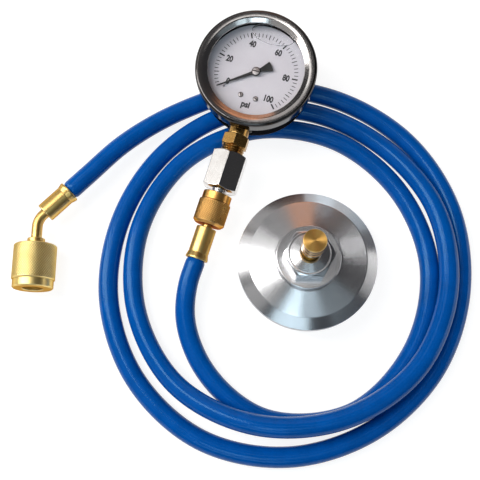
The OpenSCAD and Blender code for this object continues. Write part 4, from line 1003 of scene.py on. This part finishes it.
def make_filter_cap():
    """Filter cap: a turned disc with a bevelled rim on a threaded spigot, and a milled hex with a turned
    land on top. The disc's face keeps the tool's fine saw-toothed rings, whose long sides lean outwards, and
    the side of the rim is painted dark as painted shade."""
    starts = RING_FIRST_R - np.arange(RING_COUNT) * RING_STEP
    crest = DISC_FACE + LEAN * RING_WIDE
    rings = [corner for r in starts for corner in ((r, DISC_FACE), (r - RING_WIDE, crest))]
    spigot = [(0, 18), (28, 18, 0.8), (28, 0, 0.3), (SPIGOT_R, 0, 0.6), (SPIGOT_R, 11.6, 0.2),
              (30.6, 11.6, 0.2), (30.6, 14.8, 0.2), (SPIGOT_R, 14.8, 0.2), (SPIGOT_R, RIM_LOW, 0.2)]
    bevel = [(DISC_R, RIM_LOW, 0.4), (DISC_R, RIM_HIGH, 0.3), (32.35, 23.992), (32.05, 24.17)]
    collar = [(CAP_COLLAR_R, DISC_FACE, 0.15), (CAP_COLLAR_R, CAP_COLLAR_TOP, 0.5), (0, CAP_COLLAR_TOP)]
    disc = turned(spigot + bevel + rings + collar, loop=False, columns=180,
                  cut=thread(pitch=2.0, depth=0.9, low=0.9, high=11.0), window=(0.7, 11.3, 32.5, 33.1),
                  step=0.2)
    # The rim's outer side is painted dark: painted shade
    rim = (np.hypot(disc[0][:, 0], disc[0][:, 1]) > DISC_R - 0.05) & (disc[0][:, 2] < RIM_HIGH - 0.2)
    disc = *disc[:3], np.where(rim, -1.0, disc[3])
    piece("cap_disc", [put(disc, CAP)], TURNED, "filter_cap", "cap_aluminium", "filter_cap")
    slope = math.tan(math.pi / 6)
    top = CAP_HEX_TOP - 0.5 * slope
    hexagon = hexed([(0, 28.3), (11, 28.3), (None, 28.35, 0.0, 0.1), (None, 28.6, 0.0, 0.0),
                     (None, 28.8, 0.0, 0.0), (None, top - 0.4, -slope, 0.0), (None, top - 0.2, -slope, 0.0),
                     (None, top - 0.03, -slope, 0.05), (11.75, CAP_HEX_TOP), (11.05, CAP_HEX_TOP),
                     (11.0, 36.05), (0, 36.05)], CAP_FLATS, 0.0, 20)
    piece("cap_hex", [put(hexagon, CAP)], MILLED, "filter_cap", "cap_aluminium")
    land = turned([(0, 36), (10.5, 36), (10.5, CAP_HEX_TOP, 0.15), (5.8, 37.5, 0.2), (0, 37.5)],
                  loop=False, columns=128)
    piece("cap_land", [put(land, CAP)], TURNED, "filter_cap", "cap_aluminium")
    ring = turned([(O_RING_AT[0] + O_RING_R * math.cos(a), O_RING_AT[1] + O_RING_R * math.sin(a))
                   for a in np.arange(24) / 24 * TURN], columns=128)
    piece("o_ring", [put(ring, CAP)], RUBBER, "filter_cap", "black_rubber", "cap_o_ring")


def make_test_port():
    """Test port: a brass neck with a shoulder and a screw thread, and its turned brass cap."""
    port = turned([(1.5, 27.5), (5, 27.5), (5, 37.5, 0.1), (4.3, 37.5, 0.1), (4.3, 42, 0.3),
                   (4.05, 42.5, 0.2), (4.05, 43.3, 0.2), (4.3, 43.8, 0.3), (4.3, 47.9, 0.1),
                   (5.4, 47.9, 0.3), (5.4, 49.1, 0.3), (4.95, 49.1), (4.95, 58.1, 0.2),
                   (4.4, 58.7, 0.2), (2.6, 58.7, 0.2), (2.6, 43.7), (1.5, 43.7)],
                  columns=96, cut=thread(pitch=1.0, depth=0.45, low=49.2, high=58.0),
                  window=(49.2, 58.0, 4.8, 5.0), step=0.12)
    piece("port", [put(port, CAP)], BRASS, "filter_cap", "brass", "test_port")
    cap = turned([(0, 60), (5.1, 60, 0.2), (5.1, 49.4, 0.2), (5.9, 49.4, 0.5), (5.9, 52.4, 0.5),
                  (5.6, 52.8, 0.1), (5.6, 53.2, 0.1), (5.9, 53.6, 0.5), (5.9, 57.2, 0.5),
                  (5.6, 57.6, 0.1), (5.6, 57.9, 0.1),
                  (6, 58.3, 0.3), (6, 61.6, 0.3), (5.6, 61.9), (0, 61.9)], loop=False, columns=96)
    piece("port_cap_turned", [put(cap, CAP)], RING_BRASS, "port_cap", "brass", "port_cap")
    top = turned([(0, 61.5), (5.7, 61.5), (5.95, 61.75, 0.1), (5.75, 62.2, 0.2), (0, 62.2)], loop=False,
                 columns=96)
    piece("port_cap_face", [put(top, CAP)], CAP_BRASS, "port_cap", "brass")


# Parts that keep their CAD shape

KEPT = {
    RUBBER: ["fill_plug", "swivel_gasket", "angle_gasket", "port_seal"],
    GASKET: ["window_gasket"],
    MOVEMENT: ["back_plate", "front_plate", "movement_posts", "sector_gear", "pinion_arbor",
               "movement_link", "bourdon_tip", "pulse_restrictor", "core_depressor", "valve_core"],
    BRONZE: ["bourdon_tube", "hairspring"],
    STEEL: ["movement_screws", "case_screws", "valve_pin", "valve_spring"],
}


def finish_kept_nodes():
    """Gives each CAD part that stays its finish."""
    for finish, names in KEPT.items():
        for name in names:
            slots = frame["nodes"][name].data.materials
            slots.clear()
            slots.append(finish)


# Floor and light

FLOOR_FLAT = 5000
FLOOR_CURVE = 20000
FLOOR_REACH = 14000
FLOOR_RISE = 1500
FLOOR_TONE = 0.34
FLOOR_GLOW = 0.86


def make_floor():
    """A large plain floor that rises gently at its far edge, so that it is also the backdrop. It is matt,
    keeps the shadows, and glows for what looks at it directly, in a reflection or through the window,
    so that it is white where nothing shades it."""
    sweep = turned([(0, 0), (FLOOR_FLAT, 0, FLOOR_CURVE), (FLOOR_REACH, FLOOR_RISE)], loop=False, columns=96)
    mesh = mesh_of("floor", [sweep])
    smooth(mesh)
    floor = bpy.data.objects.new("floor", mesh)
    scene.collection.objects.link(floor)
    made, tree, shader = material("white_floor")
    tree.nodes.remove(shader)
    matt = add(tree, "ShaderNodeBsdfDiffuse", {"Color": (FLOOR_TONE, FLOOR_TONE, FLOOR_TONE, 1)})
    ray = add(tree, "ShaderNodeLightPath").outputs
    seen = maths(tree, "MAXIMUM", ray["Is Camera Ray"], ray["Is Glossy Ray"])
    seen = maths(tree, "MAXIMUM", seen, ray["Is Transmission Ray"])
    glow = add(tree, "ShaderNodeEmission", {"Strength": maths(tree, "MULTIPLY", seen, FLOOR_GLOW)})
    both = add(tree, "ShaderNodeAddShader", {0: matt.outputs[0], 1: glow.outputs[0]})
    tree.links.new(both.outputs[0], tree.nodes["Material Output"].inputs["Surface"])
    mesh.materials.append(made)


WHITE = (1, 0.99, 0.97)
COOL = (0.72, 0.9, 1.0)
WARM = (1, 0.42, 0.2)
ORANGE = (1, 0.45, 0.22)
ROOM = (0.035, 0.035, 0.038, 1)
LIT_AT = (-0.02, 0, 0.02)
# Lamp panels: name, place, width and height in metres, radiance and colour
LAMPS = [
    # The main light and what fills round it
    ("left_panel", (-0.66, 0.185, 0.8), 0.31, 1.05, 6.4, WHITE),
    ("left_fill", (-0.7, -0.35, 0.72), 0.45, 1.1, 0.32, WHITE),
    ("high_left_panel", (-0.45, 0.45, 0.92), 0.3, 0.3, 1.5, WHITE),
    ("top_card", (-0.05, 0.12, 1.05), 0.5, 0.12, 1.2, WHITE),
    ("high_back_fill", (-0.2, 0.68, 0.95), 0.3, 0.4, 0.5, WHITE),
    ("low_back_fill", (-0.38, 0.85, 0.37), 0.8, 0.16, 0.7, WHITE),
    ("side_card", (-0.8, 0.45, 0.38), 0.3, 0.3, 1.2, WHITE),
    # Cool light from the front
    ("front_panel", (-0.14, -0.5, 0.98), 0.26, 0.3, 4.0, COOL),
    ("front_card", (0.13, -0.32, 1.0), 0.16, 0.2, 1.6, COOL),
    ("low_front_panel", (-0.2, -0.74, 0.56), 0.58, 0.2, 2.1, COOL),
    ("right_front_fill", (0.45, -0.4, 0.8), 0.5, 0.7, 0.22, COOL),
    # Warm cards behind
    ("back_card", (0.04, 0.73, 0.7), 0.26, 0.4, 0.85, ORANGE),
    ("warm_card", (0.2, 0.95, 0.5), 0.9, 0.26, 0.55, WARM),
    # Low strips that draw the rims
    ("rear_strip", (0.35, 0.95, 0.19), 1.3, 0.22, 0.55, COOL),
    ("rear_glint", (0.31, 0.93, 0.3), 0.2, 0.12, 1.9, COOL),
    ("right_strip", (1.0, 0.0, 0.2), 0.7, 0.26, 1.85, WHITE),
]


def make_panel(name, place, wide, high, radiance, colour):
    """A soft lamp panel that faces the object; its power gives it the radiance it is asked for."""
    data = bpy.data.lights.new(name, "AREA")
    data.shape = "RECTANGLE"
    data.size = wide
    data.size_y = high
    data.energy = radiance * math.pi * wide * high
    data.color = colour
    lamp = bpy.data.objects.new(name, data)
    lamp.location = place
    to_object = -unit(np.array(place) - LIT_AT)
    side = unit(np.cross(to_object, (0, 0, 1)))
    up = np.cross(side, to_object)
    turn = np.stack([side, up, -to_object], 1)
    lamp.matrix_world = Matrix([[*turn[k], place[k]] for k in range(3)] + [[0, 0, 0, 1]])
    lamp.visible_camera = False
    scene.collection.objects.link(lamp)


def make_light():
    """Soft studio light: all the lamp panels, in a dim room."""
    for lamp in LAMPS:
        make_panel(*lamp)
    world = bpy.data.worlds.new("room")
    world.use_nodes = True
    world.node_tree.nodes["Background"].inputs["Color"].default_value = ROOM
    scene.world = world


# Making

set_camera()
blue_hose, hose_path = make_hose()
make_case()
make_window()
make_dial()
make_stem()
make_adapter()
make_swivel_nut()
far_ferrule = make_ferrules()
far_fitting = make_angle_end()
make_filter_cap()
make_test_port()
finish_kept_nodes()
make_floor()
make_light()
